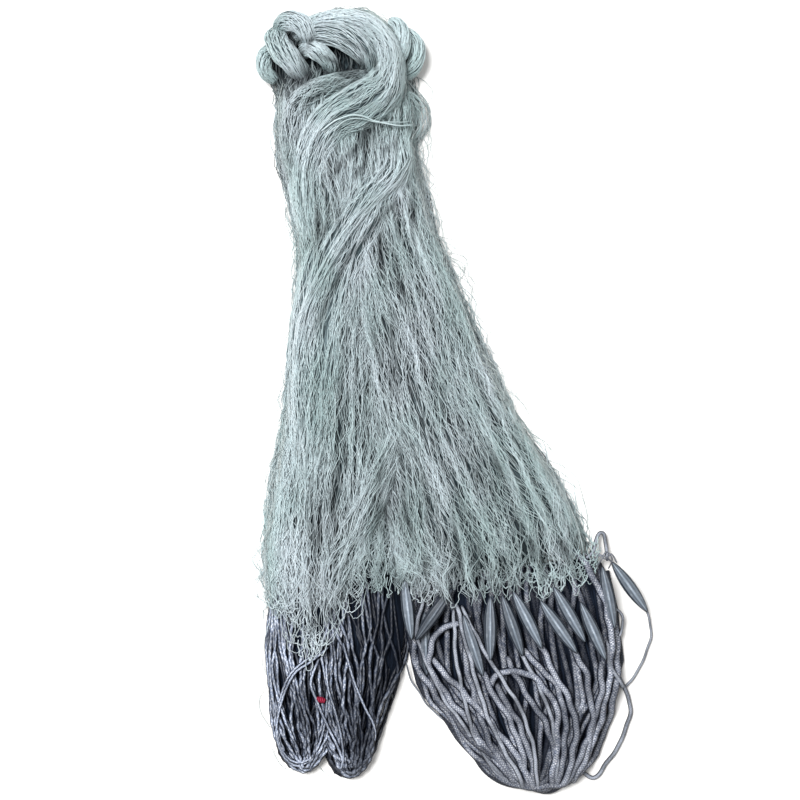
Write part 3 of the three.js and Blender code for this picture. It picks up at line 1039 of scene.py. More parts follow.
    def threads(self, weave: Weave, rng: np.random.Generator) -> Tubes:
        """Threads that follow the bundle.

        Each keeps its own side of the bundle, sways in long sines, is gathered with its neighbours, crosses
        them in a triangle wave, crinkles at random and lies at its own depth under the dome.

        Args:
            weave: The layer's numbers.
            rng: Source of the draws.

        Returns:
            The threads as tubes.
        """
        draw = Draw(rng, weave.count, weave.points)
        rank = (np.arange(weave.count)[:, None] + draw.each(0.0, 1.0)) / weave.count
        own = np.sin(np.pi / 2 * (2 * rank - 1))
        ends = self.ends(own, draw.each(0.0, 1.0))
        starts = draw.each(*weave.start)
        share = starts + (ends - starts) * np.linspace(0.0, 1.0, weave.points)
        half = self.half_width(share)
        run = self.length() * share
        sway = draw.wave(run, *weave.sway_wave) + weave.weak_share * draw.wave(run, *weave.weak_wave)
        side, slack = self.gathered(share, own + weave.sway / half * sway, ends - share)
        lace = draw.each(*weave.lace) * np.arcsin(draw.wave(run, *weave.lace_wave)) * 2 / np.pi
        side = side + slack * (weave.crinkle * draw.crinkle() + lace) / half
        crest = self.crest(share, side)
        rise = draw.each(*weave.depth) + crest + weave.crinkle_rise * weave.crinkle * draw.crinkle()
        rise = rise - (np.abs(own) > weave.outermost) * draw.each(0.0, EDGE_HEIGHT)
        radius = draw.each(*weave.radius) * (1 + weave.swell * draw.wave(run, *weave.swell_wave))
        # Their own lightness, with painted light on the crests and in glints and painted shade in the
        # furrows; shaded() and hollowed() add more.
        tone = draw.each(*weave.tone) + weave.crest_light * crest
        tone = tone + weave.tone_swing * draw.wave(run, *weave.tone_wave)
        tone = tone + weave.glint_light * (draw.each(0.0, 1.0) < weave.glints)
        places = self.place(share, side, rise)
        tone = hollowed(self.shaded(tone, share, side), places, self.patches)
        return Tubes(places, radius, THREAD_SIDES, tone)

    def solid(self, skin: Skin) -> Shape:
        """A closed skin a little inside the bundle, with a flat foot on the ground.

        Its sections are spaced as sines from side to side, and its end goes down as a square.

        Args:
            skin: How it lies.

        Returns:
            The skin's shape.
        """
        run, side = np.meshgrid(np.linspace(0, 1, skin.steps), np.linspace(-1, 1, skin.across), indexing="ij")
        share = run * self.body_end
        rim = np.sin(side * np.pi / 2) * (1 - skin.edge / self.half_width(share))
        tuck = skin.tuck * np.clip((run - skin.tuck_start) / skin.tuck_reach, 0.0, 1.0) ** 2
        sink = skin.inset + tuck * (self.body_end < 1)
        dome = self.place(share, rim, self.crest(share, rim) - sink)
        foot = dome[:, [-1, 0]] * (1.0, 1.0, 0.0)
        tone = self.light + (self.hem_light - self.light) * np.linspace(0.0, 1.0, skin.steps)[:, None]
        return Shape.ringed(np.concatenate([dome, foot], 1), tone)


@dataclass(frozen=True)
class Strays:
    """Fine filaments that stand off one side of a bundle in long low arcs."""

    bundle: Bundle
    count: int
    edge: int  # the side, -1 or 1
    reach: float  # how far the highest arc stands off
    points: int = 18
    start: Span = (0.02, 0.84)  # shares of the bundle at which they begin
    span: Span = (0.05, 0.16)  # shares of the bundle that they run over
    arc: Span = (0.2, 1.0)  # square roots of their arcs' shares of the reach
    root: Span = (0.9, 0.99)  # distance from the bundle's middle at which they begin, in half widths
    rise: Span = (-4.0, 9.0)  # height over the dome
    crinkle: float = 0.5
    radius: Span = (0.2, 0.36)
    tone: Span = (0.2, 1.0)

    def tubes(self, rng: np.random.Generator) -> Tubes:
        """Each filament is an arc of a sine, outwards from its root, crinkled at random.

        Args:
            rng: Source of the draws.

        Returns:
            The filaments as tubes.
        """
        draw = Draw(rng, self.count, self.points)
        step = np.linspace(0.0, 1.0, self.points)
        share = draw.each(*self.start) + draw.each(*self.span) * step
        arc = np.sin(np.pi * step) * draw.each(*self.arc) ** 2 * self.reach
        half = self.bundle.half_width(share)
        side = self.edge * (draw.each(*self.root) + (arc + self.crinkle * draw.crinkle()) / half)
        rise = draw.each(*self.rise) + self.crinkle * draw.crinkle()
        radius = draw.each(*self.radius) + np.zeros(self.points)
        tone = draw.each(*self.tone) + np.zeros(self.points)
        return Tubes(self.bundle.place(share, side, rise), radius, THREAD_SIDES, tone)


@dataclass(frozen=True)
class HeadTurn:
    """A twisted turn of the tied head."""

    line: Rows  # points of its middle line
    ends: float  # radius at its ends
    middle: float  # radius in its middle
    turns: float  # turns of its twist
    pale: float = 0.0  # how much paler its threads are
    groove: float = 0.22  # painted shade: how much darker its threads are between the strands
    fullness: float = 0.8  # power of the sine that it swells by
    bluntness: int = 10  # power by which its ends are rounded off
    tip: float = 0.02  # square of the share of the radius that is left at its tips
    count: int = 112  # how many threads are wound round it
    points: int = 22  # points along each
    strands: int = 8
    sway: float = 0.24  # how far threads sway round the turn
    sway_wave: Span = (0.7, 1.6)  # wavelengths of the sway, in lengths of the turn
    crinkle: float = 0.07  # spread of their random offsets round the turn
    reach: Span = (0.93, 1.05)  # shares of the radius at which they lie
    strand_relief: float = 0.06  # how far the strands stand out, in radii
    rough: float = 0.03  # spread of their random offsets outwards, in radii
    radius: Span = (0.3, 0.46)
    tone: Span = (0.85, 1.4)
    strand_level: float = 0.2  # height of a strand at which its threads have their own lightness
    top_light: float = 0.4  # painted light: how much lighter they are on top
    top_floor: float = -0.5  # height below which they get no darker
    end_shade: float = 0.5  # painted shade: how much darker they are at the ends
    end_power: int = 4  # how close to the ends that is
    core_sides: int = 14
    core_reach: float = 0.84  # share of the radius that the core fills
    core_tone: float = 0.7

    def thickness(self, share: Array) -> Array:
        """Radius along the turn, swelling as a sine and rounded off at its ends."""
        swell = (self.middle - self.ends) * np.maximum(np.sin(np.pi * share), 0.0) ** self.fullness
        return (self.ends + swell) * np.sqrt(np.maximum(1 - (2 * share - 1) ** self.bluntness, self.tip))

    def shell(self, share: Array, angle: Array, reach: Array | float) -> Array:
        """Places round the turn: its line plus its radius times a cosine sideways and a sine upwards.

        Args:
            share: From 0 to 1 along the turn.
            angle: Round it, from the side over the top.
            reach: Share of the radius.

        Returns:
            Places with a last axis of three, none below the ground.
        """
        value, slope = faired(np.array(self.line), share)
        ahead = unit(slope)
        sideways = unit(np.cross((0.0, 0.0, 1.0), ahead))
        upwards = np.cross(ahead, sideways)
        radius = (self.thickness(share) * reach)[..., None]
        place = value + radius * (sideways * np.cos(angle)[..., None] + upwards * np.sin(angle)[..., None])
        return np.maximum(place, (-np.inf, -np.inf, LOWEST))

    def tubes(self, rng: np.random.Generator) -> Tubes:
        """Threads wound round the turn in a long helix that sways, raised in strands as a cosine round it.

        Args:
            rng: Source of the draws.

        Returns:
            The threads as tubes.
        """
        draw = Draw(rng, self.count, self.points)
        share = np.linspace(0.0, 1.0, self.points) + np.zeros((self.count, 1))
        start = TURN * (np.arange(self.count)[:, None] + draw.each(0.0, 1.0)) / self.count
        slow = draw.wave(share, *self.sway_wave)
        twist = TURN * self.turns * (share - 0.5)
        angle = start + twist + self.sway * slow + self.crinkle * draw.crinkle()
        strand = np.cos(self.strands * (start + self.sway / 2 * slow))
        reach = draw.each(*self.reach) + self.strand_relief * strand + self.rough * draw.crinkle()
        radius = draw.each(*self.radius) + np.zeros(self.points)
        # Painted light on top, and painted shade at the ends and in the grooves between strands.
        top = self.top_light * np.clip(np.sin(angle), self.top_floor, 1.0)
        round_off = top - self.end_shade * np.abs(2 * share - 1) ** self.end_power
        tone = self.pale + draw.each(*self.tone) + self.groove * (strand - self.strand_level) + round_off
        places = self.shell(share, angle, reach)
        return Tubes(places, radius, THREAD_SIDES, hollowed(tone, places, NET_PATCHES))

    def core(self) -> Shape:
        """The turn's shaded inside, as one fat tube.

        Returns:
            The tube's shape.
        """
        share = np.linspace(0.0, 1.0, self.points)[:, None] + np.zeros(self.core_sides)
        angle = TURN * np.arange(self.core_sides) / self.core_sides + np.zeros((self.points, 1))
        return Shape.ringed(self.shell(share, angle, self.core_reach), np.full(share.shape, self.core_tone))


RIGHT_FAN = Bundle(
    "right_fan",
    (
        (-88, 338, 34, 22), (-87, 304, 45, 36), (-88, 252, 47, 42), (-85, 202, 53, 44), (-75, 152, 58, 44),
        (-60, 102, 63, 44), (-46, 52, 68, 43), (-31, 2, 74, 42), (-12, -48, 81, 41), (9, -98, 89, 40),
        (30, -148, 97, 42), (42, -206, 101, 46),
    ),
    locks=6, fine=24, wander=0.5, relief=1.8, fine_relief=1.5, clump=0.6,
    hem=((-1.0, 0.925), (-0.7, 0.945), (-0.3, 0.96), (0.2, 0.952), (0.6, 0.95), (0.85, 0.945), (1.0, 0.93)),
    ragged=0.05, knots=8, scallop=0.009, body_end=0.94, root=1.0, light=0.65, hem_light=0.25,
)
LEFT_FAN = Bundle(
    "left_fan",
    (
        (-132, 338, 34, 22), (-134, 304, 44, 36), (-130, 252, 46, 42), (-120, 202, 43, 43),
        (-113, 152, 45, 43), (-112, 102, 46, 42), (-114, 52, 48, 41), (-116, 2, 53, 40),
        (-119, -48, 58, 38), (-122, -98, 63, 37), (-124, -148, 67, 36), (-124, -198, 67, 34),
        (-124, -252, 54, 29),
    ),
    locks=5, fine=18, wander=0.5, relief=1.8, fine_relief=1.5, clump=0.6,
    hem=((-1.0, 0.915), (-0.6, 0.945), (-0.3, 0.96), (0.0, 0.95), (0.3, 0.9), (1.0, 0.875)), ragged=0.08,
    knots=6, scallop=0.01, body_end=0.89, root=1.0, painted_light=1.1, light=0.65, hem_light=0.3,
)
UPPER_SWEEP = Bundle(
    "upper_sweep",
    (
        (-162, 364, 9, 24), (-142, 378, 11, 36), (-112, 383, 12, 43), (-88, 376, 14, 48),
        (-71, 358, 15, 52), (-66, 336, 17, 54), (-75, 312, 26, 54), (-96, 295, 30, 53), (-127, 276, 26, 52),
        (-145, 242, 24, 49), (-147, 203, 20, 43), (-141, 160, 14, 30),
    ),
    locks=3, fine=11, wander=0.4, relief=1.4, fine_relief=0.6, clump=0.45, flank=0.1,
)
DIAGONAL_SWEEP = Bundle(
    "diagonal_sweep",
    (
        (-72, 284, 20, 28), (-64, 236, 25, 45), (-89, 196, 33, 51), (-115, 148, 37, 51), (-129, 96, 35, 49),
        (-137, 42, 32, 46), (-142, -8, 28, 42), (-146, -68, 22, 36), (-146, -128, 14, 24),
    ),
    locks=3, fine=12, wander=0.4, relief=1.4, fine_relief=0.6, clump=0.45, flank=0.12,
)
DIAGONAL_BAND = Bundle(
    "diagonal_band",
    (
        (-46, 246, 6, 36), (-58, 223, 10, 50), (-81, 199, 11, 56), (-103, 172, 12, 57), (-120, 146, 12, 56),
        (-136, 118, 11, 53), (-149, 88, 10, 49), (-157, 52, 8, 42), (-160, 16, 5, 34),
    ),
    locks=2, fine=6, wander=0.25, relief=0.8, fine_relief=0.6, clump=0.4, root=0.4, flank=0.1, patches=(),
)
FRONT_VEIL = Bundle(
    "front_veil",
    (
        (-82, 327, 8, 32), (-101, 323, 11, 42), (-122, 318, 13, 44), (-143, 309, 15, 44),
        (-158, 294, 16, 44), (-164, 270, 15, 43), (-163, 240, 12, 40), (-156, 204, 8, 30),
    ),
    locks=2, fine=6, wander=0.3, relief=1.4, fine_relief=0.8, clump=0.6, root=0.5, flank=0.15, light=0.4,
    hem_light=0.4,
)
NECK_LOOP = Bundle(
    "neck_loop",
    (
        (-62, 310, 6, 26), (-47, 306, 8, 26), (-37, 294, 9, 22), (-36, 280, 8, 18), (-43, 266, 6, 14),
        (-53, 252, 4, 10),
    ),
    fine=4,
)
CROSSING_LOCK = Bundle(
    "crossing_lock",
    (
        (-54, -8, 9, 34), (-66, -52, 15, 42), (-84, -94, 20, 43), (-103, -132, 22, 42),
        (-120, -168, 21, 38), (-132, -204, 16, 32),
    ),
    locks=2, fine=7, wander=0.3, relief=1.2, fine_relief=0.8, clump=0.5, ragged=0.2, root=0.5, flank=0.2,
)
HEAD_CORE = Bundle(
    "head_core",
    (
        (-116, 382, 44, 12), (-117, 352, 70, 22), (-112, 322, 69, 25), (-110, 288, 64, 27),
    ),
    locks=9, fine=20, relief=1.5, fine_relief=1.0, light=0.15, hem_light=0.15,
)
HEAD_TURNS = (
    HeadTurn(
        ((-150, 362, 18), (-136, 369, 32), (-114, 365, 40), (-97, 355, 40), (-86, 341, 30), (-87, 327, 12)),
        ends=8, middle=12.5, turns=0.2, groove=0.45,
    ),
    HeadTurn(
        ((-155, 350, 16), (-147, 353, 31), (-137, 349, 35), (-127, 340, 28), (-122, 331, 12)),
        ends=6, middle=8.5, turns=0.3,
    ),
    HeadTurn(
        ((-183, 370, 8), (-181, 364, 22), (-174, 352, 33), (-162, 338, 31), (-151, 325, 14)),
        ends=7, middle=12, turns=0.35,
    ),
    HeadTurn(
        ((-186, 358, 8), (-192, 350, 15), (-193, 341, 18), (-190, 331, 16), (-181, 324, 8)),
        ends=5, middle=7.5, turns=0.4,
    ),
    HeadTurn(
        ((-180, 374, 12), (-170, 381, 26), (-156, 378, 34), (-146, 366, 33), (-142, 353, 18)),
        ends=6, middle=10, turns=0.35,
    ),
    HeadTurn(
        ((-68, 368, 9), (-54, 371, 14), (-42, 362, 16), (-39, 348, 16), (-45, 334, 13), (-58, 326, 8)),
        ends=5, middle=8, turns=0.4, pale=-0.1,
    ),
    HeadTurn(
        ((-66, 385, 8), (-58, 379, 18), (-53, 366, 25), (-54, 350, 25), (-61, 338, 14)),
        ends=4, middle=7, turns=0.4, pale=-0.05,
    ),
)
FLOAT_HEAP = Bundle(
    "float_line_heap",
    (
        (52, -166, 95, 24), (55, -198, 104, 28), (61, -248, 104, 32), (68, -288, 101, 32),
        (72, -318, 83, 30), (79, -348, 63, 27), (83, -372, 50, 22), (85, -387, 29, 15), (84, -394, 12, 9),
    ),
)
LEAD_LEFT_HEAP = Bundle(
    "lead_line_left_heap",
    (
        (-142, -190, 42, 24), (-144, -228, 46, 27), (-147, -268, 45, 28), (-151, -308, 40, 26),
        (-156, -338, 34, 22), (-160, -360, 24, 17), (-163, -372, 12, 9),
    ),
    # A light above one is painted light on this lobe's cords and mass.
    light=1.45,
)
LEAD_RIGHT_HEAP = Bundle(
    "lead_line_right_heap",
    (
        (-96, -176, 46, 23), (-96, -230, 50, 26), (-101, -268, 46, 28), (-107, -308, 39, 26),
        (-109, -340, 32, 22), (-113, -363, 25, 16), (-117, -378, 12, 9),
    ),
    # A light below one is painted shade on this lobe's cords and mass.
    light=0.62,
)
FAN_SKIN = Skin(inset=7.0, edge=6.0, steps=44, across=27)
SWEEP_SKIN = Skin(inset=4.5, edge=4.0, steps=44, across=27)
FLOAT_SKIN = Skin(inset=11.0, edge=4.0, steps=40, across=31)
LEAD_SKIN = Skin(inset=9.0, edge=6.0, steps=30, across=25)


def height_over(heaps: tuple[Bundle, ...], x: Array, y: Array) -> Array:
    """Height of the highest of several heaps over a place."""
    return np.maximum.reduce([heap.height_at(x, y) for heap in heaps])


@dataclass(frozen=True)
class Lay:
    """How cords are laid, and how finely they are cut into faces."""

    points: int  # points along each
    sides: int  # sides of its section
    pitch: float  # length of one crossing of its braid
    wobble: float = 0.0  # how far a laid cord strays to each side
    wobble_run: Span = (6.5, 3.7)  # lengths in which its two wobbles turn by a radian
    second_wobble: float = 0.6  # strength of the second
    dive: float = 9.0  # how far its ends go down into the heap
    dive_power: int = 16  # how close to the ends that is
    taper: float = 0.5  # share of the radius that its ends lose
    taper_power: int = 20  # how close to the ends that is


@dataclass(frozen=True)
class Bights:
    """A set of bights that hang in a heap: how many, how thick, how deep and how wavy."""

    count: int
    lay: Lay
    radius: Span
    depth: Span  # rise over the dome
    sway: float  # how far they sway to each side
    kink: float  # spread of their random offsets
    tone: Span
    start: float  # share at which the outermost begins
    bulge: float = 0.0  # how much thicker their bulges are
    lean: float = 0.0  # how far they cross from one side of the heap to the other on their way down
    patches: Rows = ()  # where painted light and painted shade fall on them
    reach: Span = (0.93, 1.0)  # shares at which the outermost turn back
    spread: Span = (0.1, 0.9)  # where each lies in its own part of the half width
    scatter: Span = (-0.03, 0.03)  # how unevenly they begin
    squareness: Span = (2.2, 3.4)  # powers of the squared ellipses
    inner_reach: float = 0.6  # base of the share that the innermost reach
    inner_power: float = 0.3  # and its power
    sway_wave: Span = (120, 260)  # wavelengths of the sway
    weak_wave: Span = (38, 66)  # wavelengths of a weaker sway on top of it
    weak_share: float = 0.18  # strength of the weaker sway
    fade_power: int = 3  # how close to the turn the sways fade
    rise_swing: float = 0.8  # how far they go up and down
    rise_wave: Span = (60, 120)  # wavelengths of that
    kink_rise: float = 0.4  # share of the kinks that goes up and down
    bulge_wave: Span = (10, 17)  # wavelengths of the bulges
    bulge_gain: float = 1.5  # how steep the bulges are
    bulge_level: float = 0.8  # how much of the length they take up
    bulge_shade: float = 1.6  # painted shade: how dark it is between bulges, for each share of thickness
    darkest: float = 0.7  # how dark it can get there
    dive: float = 6.0  # how far their ends go down into the heap
    dive_power: int = 30  # how close to the ends that is

    def tubes(self, heap: Bundle, rng: np.random.Generator) -> Tubes:
        """Hangs the bights.

        A bight is half a squared ellipse in the heap's own share and side, so that it runs down one side,
        turns at the foot and runs up the other, with sways that fade towards the turn. A lean moves its
        middle across the heap in step with the share. Bulges are raised sines along it.

        Args:
            heap: The heap that they hang in.
            rng: Source of the draws.

        Returns:
            The bights as tubes.
        """
        draw = Draw(rng, self.count, self.lay.points)
        spread = (np.arange(self.count)[:, None] + draw.each(*self.spread)) / self.count
        angle = np.linspace(np.pi, TURN, self.lay.points) + np.zeros((self.count, 1))
        square = 2 / draw.each(*self.squareness)
        side = spread * np.sign(np.cos(angle)) * np.abs(np.cos(angle)) ** square
        inner = (self.inner_reach + (1 - self.inner_reach) * spread) ** self.inner_power
        reach = draw.each(*self.reach) * inner
        first = self.start * spread + draw.each(*self.scatter)
        share = first + (reach - first) * np.abs(np.sin(angle)) ** square
        run = heap.length() * share * np.where(np.cos(angle) < 0, 1, -1)
        fade = 1 - share**self.fade_power
        slow = draw.wave(run, *self.sway_wave) + self.weak_share * draw.wave(run, *self.weak_wave)
        shift = self.sway * slow + self.kink * draw.crinkle()
        side = np.clip(side + fade * shift / heap.half_width(share), -1.0, 1.0)
        side = np.clip(side + self.lean * (share - 0.5) * (1 - side**2), -1.0, 1.0)
        rise = draw.each(*self.depth) + self.rise_swing * draw.wave(run, *self.rise_wave)
        rise = rise + self.kink_rise * self.kink * draw.crinkle()
        swell = np.clip(self.bulge_gain * draw.wave(run, *self.bulge_wave) + self.bulge_level, 0.0, 1.0)
        radius = draw.each(*self.radius) * (1 + self.bulge * swell)
        paths = heap.place(share, side, rise - self.dive * np.cos(angle) ** self.dive_power)
        paths[..., 2] = np.maximum(paths[..., 2], radius + CLEARANCE)
        shade = min(self.bulge_shade * self.bulge, self.darkest) * (1 - swell)
        # Painted shade between the bulges, and painted light and shade from the heap's light and the patches.
        tone = draw.each(*self.tone) * (1 - shade) * heap.light
        return Tubes(paths, radius, self.lay.sides, patched(tone, paths, self.patches), self.lay.pitch)


@dataclass(frozen=True)
class Route:
    """A cord laid through listed plan points over a heap or through points with heights of their own."""

    radius: float
    lift: float  # height over the heap
    line: Rows
    # Lightness; the lower values on cords that lie behind others are painted shade.
    tone: float = 0.95

    def tubes(self, lay: Lay, heaps: tuple[Bundle, ...] = ()) -> Tubes:
        """Runs a smooth line through the points, as high as the heaps below it and the lift.

        The line wobbles sideways in two sines. Its ends taper, and over a heap they dive, by powers of the
        distance from its middle.

        Args:
            lay: How it is laid.
            heaps: The heaps that it lies on.

        Returns:
            The cord as a single tube.
        """
        plan, slope = faired(np.array(self.line, float), np.linspace(0.0, 1.0, lay.points))
        ahead = unit(slope[:, :2])
        run = np.cumsum(np.linalg.norm(np.gradient(plan[:, :2], axis=0), axis=1))
        start = self.line[0][0] + self.line[0][1]
        long_run, short_run = lay.wobble_run
        wave = np.sin(run / long_run + start) + lay.second_wobble * np.sin(run / short_run + 2 * start)
        x = plan[:, 0] - ahead[:, 1] * (lay.wobble * wave)
        y = plan[:, 1] + ahead[:, 0] * (lay.wobble * wave)
        middle = np.abs(np.linspace(-1.0, 1.0, lay.points))
        if plan.shape[1] > 2:
            z = plan[:, 2]
        else:
            z = height_over(heaps, x, y) + self.lift - lay.dive * middle**lay.dive_power
        path = np.stack([x, y, np.maximum(z, self.radius + CLEARANCE)], -1)[None]
        radius = self.radius * (1 - lay.taper * middle**lay.taper_power)[None]
        return Tubes(path, radius, lay.sides, np.full((1, lay.points), self.tone), lay.pitch)


NECK_LAY = Lay(points=60, sides=6, pitch=2.2, wobble=0.25)
ROPE_LAY = Lay(points=84, sides=10, pitch=2.8, wobble=0.9)
SMOOTH_LAY = Lay(points=60, sides=10, pitch=2.2, wobble=0.5)
LEAD_LAY = Lay(points=92, sides=5, pitch=6.0)
FILAMENT_LAY = Lay(points=24, sides=4, pitch=2.4)
# Two thin cords over the neck.
NECK_ROUTES = (
    Route(0.8, 0.0, (
        (-44, 278, 24), (-54, 275.5, 36), (-63, 275.5, 42.5), (-73, 277, 46), (-82, 279.5, 48),
        (-92, 282.5, 53), (-103, 283.5, 56), (-113, 281, 56), (-123, 277, 54), (-134, 268, 51),
    )),
    Route(0.6, 0.0, (
        (-46, 281, 24), (-55, 279, 36), (-64, 278, 43), (-74, 278, 46.5), (-83, 278.5, 48),
        (-93, 280, 52.5), (-104, 280, 55.5), (-114, 276, 55), (-122, 268, 53),
    ), tone=0.8),
)
# Braided ropes of the float line, from its edge to the ropes on top.
BRAIDED_ROUTES = (
    Route(4.1, 0.0, (
        (114, -142, 8), (125, -156, 17), (138, -176, 23), (149, -200, 23), (155, -228, 21), (156, -258, 20),
        (152, -290, 20), (145, -320, 19), (136, -346, 17), (124, -370, 12), (112, -386, 7),
    )),
    Route(4.1, -1.0, (
        (-44, -245), (-40, -264), (-26, -286), (-9, -312), (10, -334), (24, -360), (46, -379), (74, -387),
        (98, -386), (120, -377), (140, -356), (152, -328), (158, -303), (162, -275), (163, -248),
        (160, -221), (153, -195), (142, -170),
    ), tone=0.7),
    Route(3.9, 0.5, (
        (14, -216), (0, -221), (-14, -228), (-24, -241), (-27, -260), (-19, -280), (-4, -300), (14, -322),
        (34, -352), (52, -372), (66, -389),
    ), tone=0.85),
    Route(3.9, 0.5, (
        (146, -262), (145, -292), (138, -322), (128, -350), (117, -371), (110, -388),
    ), tone=0.75),
    Route(4.0, 1.5, ((-23, -258), (-6, -277), (12, -295), (30, -315), (51, -341), (68, -366), (78, -390))),
    Route(4.0, 1.5, (
        (34, -286), (42, -272), (56, -268), (70, -271), (84, -281), (96, -296), (101, -312), (101, -341),
        (98, -368), (95, -389),
    )),
    Route(3.8, 0.5, (
        (65, -247), (86, -267), (100, -284), (108, -308), (109, -341), (105, -370), (102, -389),
    ), tone=0.8),
    Route(3.8, 0.5, (
        (8, -240), (12, -270), (20, -300), (28, -326), (40, -352), (54, -373), (62, -387),
    ), tone=0.7),
    Route(3.9, 1.0, (
        (117, -246), (129, -270), (134, -295), (137, -315), (134, -340), (128, -364), (117, -385),
    ), tone=0.85),
    Route(3.9, 2.0, (
        (83, -241), (96, -267), (108, -289), (117, -308), (120, -326), (118, -348), (113, -370),
        (107, -388),
    )),
    Route(3.8, 1.0, ((22, -262), (34, -286), (48, -308), (60, -332), (68, -360), (74, -390))),
    Route(3.9, 0.0, ((40, -284), (54, -306), (66, -330), (75, -357), (80, -391)), tone=0.75),
    Route(3.7, 0.5, ((52, -256), (64, -282), (80, -306), (94, -332), (99, -360), (98, -390)), tone=0.7),
    Route(3.7, -1.0, ((10, -276), (26, -304), (40, -332), (52, -358), (60, -384)), tone=0.6),
)
# Smooth cords over the float line.
SMOOTH_ROUTES = (
    Route(2.5, 2.5, (
        (-32, -195), (-38, -220), (-38, -239), (-28, -264), (-13, -295), (6, -322), (22, -346), (38, -366),
        (52, -379),
    )),
    Route(2.5, 3.0, (
        (-2, -208), (-1, -246), (3, -274), (8, -295), (15, -324), (29, -355), (44, -375), (58, -384),
    )),
    Route(2.8, 4.0, (
        (1, -203), (6, -226), (15, -260), (25, -295), (36, -324), (52, -355), (64, -376), (68, -388),
    )),
    Route(2.5, 5.0, ((6, -205), (24, -241), (44, -274), (60, -298), (72, -326), (79, -355), (82, -390))),
    Route(2.6, 2.0, ((56, -232), (70, -260), (84, -286), (95, -316), (101, -350), (101, -388))),
    Route(2.5, 2.0, ((152, -240), (154, -262), (163, -277), (168, -288))),
)
# Loose bights beside the float line, and the small loops where it leaves the hem.
LOOSE_ROUTES = (
    Route(1.3, 0.0, (
        (192, -208, 9), (197, -222, 5), (197, -240, 3), (190, -262, 3), (180, -278, 3), (171, -290, 5),
    )),
    Route(2.2, 0.0, (
        (164, -276, 12), (171, -289, 6), (176, -302, 4), (176, -318, 3), (168, -342, 3), (154, -364, 3),
        (146, -376, 3), (138, -380, 3), (128, -373, 7), (112, -362, 14),
    )),
    Route(1.5, 0.0, ((158, -206, 20), (165, -211, 16), (169, -218, 12), (168, -228, 10), (164, -236, 14))),
    Route(2.0, 0.0, (
        (130, -158, 18), (137, -151, 16), (142, -140, 11), (146, -133, 8), (150, -134, 8), (152, -144, 9),
        (153, -160, 14),
    )),
    Route(0.8, 0.0, ((130, -152, 16), (137, -158, 18), (146, -154, 17), (155, -160, 15), (160, -166, 12))),
    Route(0.8, 0.0, ((136, -162, 17), (142, -153, 17), (150, -158, 17), (157, -153, 14), (163, -162, 10))),
    Route(0.7, 0.0, ((140, -166, 17), (147, -159, 19), (152, -151, 15), (158, -158, 14), (154, -168, 16))),
    Route(0.9, 0.0, (
        (-50, -262, 9), (-44, -282, 5), (-30, -304, 3), (-14, -320, 2), (0, -331, 4), (12, -338, 10),
    )),
)
# Cords that lie across the bights of the lead line.
ARCH_ROUTES = (
    Route(1.6, 2.0, (
        (-133, -250), (-150, -258), (-168, -276), (-178, -308), (-178, -340), (-168, -358), (-154, -362),
        (-140, -350), (-131, -320), (-129, -284),
    )),
    Route(1.6, 3.0, (
        (-128, -246), (-146, -260), (-162, -272), (-174, -298), (-180, -330), (-174, -354), (-160, -366),
        (-146, -360),
    )),
    Route(1.8, 3.5, (
        (-137, -257), (-143, -271), (-145, -283), (-140, -297), (-134, -312), (-127, -328), (-120, -342),
        (-115, -355), (-112, -370),
    ), tone=1.0),
    Route(1.6, 3.0, (
        (-113, -242), (-107, -262), (-102, -279), (-96, -294), (-90, -308), (-83, -322), (-81, -336),
        (-85, -350),
    ), tone=0.75),
    Route(1.6, 3.5, (
        (-130, -262), (-128, -286), (-122, -306), (-117, -325), (-114, -342), (-113, -357), (-116, -371),
    ), tone=0.9),
)
# Filaments that stand off the lead line.
FILAMENT_ROUTES = (
    Route(0.35, 0.0, ((-188, -222, 10), (-194.5, -246.6, 5), (-196, -263, 3), (-190, -278, 5))),
    Route(0.35, 0.0, ((-188, -280, 6), (-198, -299, 2), (-197, -315, 2), (-187, -330, 5))),
    Route(0.35, 0.0, (
        (-140.6, -360, 5), (-136, -372, 2), (-124, -380.5, 1), (-110, -379.6, 1), (-98, -370, 5),
    )),
    Route(0.35, 0.0, ((-186, -349, 4), (-181, -362, 2), (-173, -371, 1), (-163, -373, 1), (-154, -370, 4))),
    Route(0.35, 0.0, (
        (-64, -295.6, 4), (-65.5, -308.6, 2), (-74, -318, 4), (-74.5, -331.5, 3), (-80, -351, 5),
    )),
)
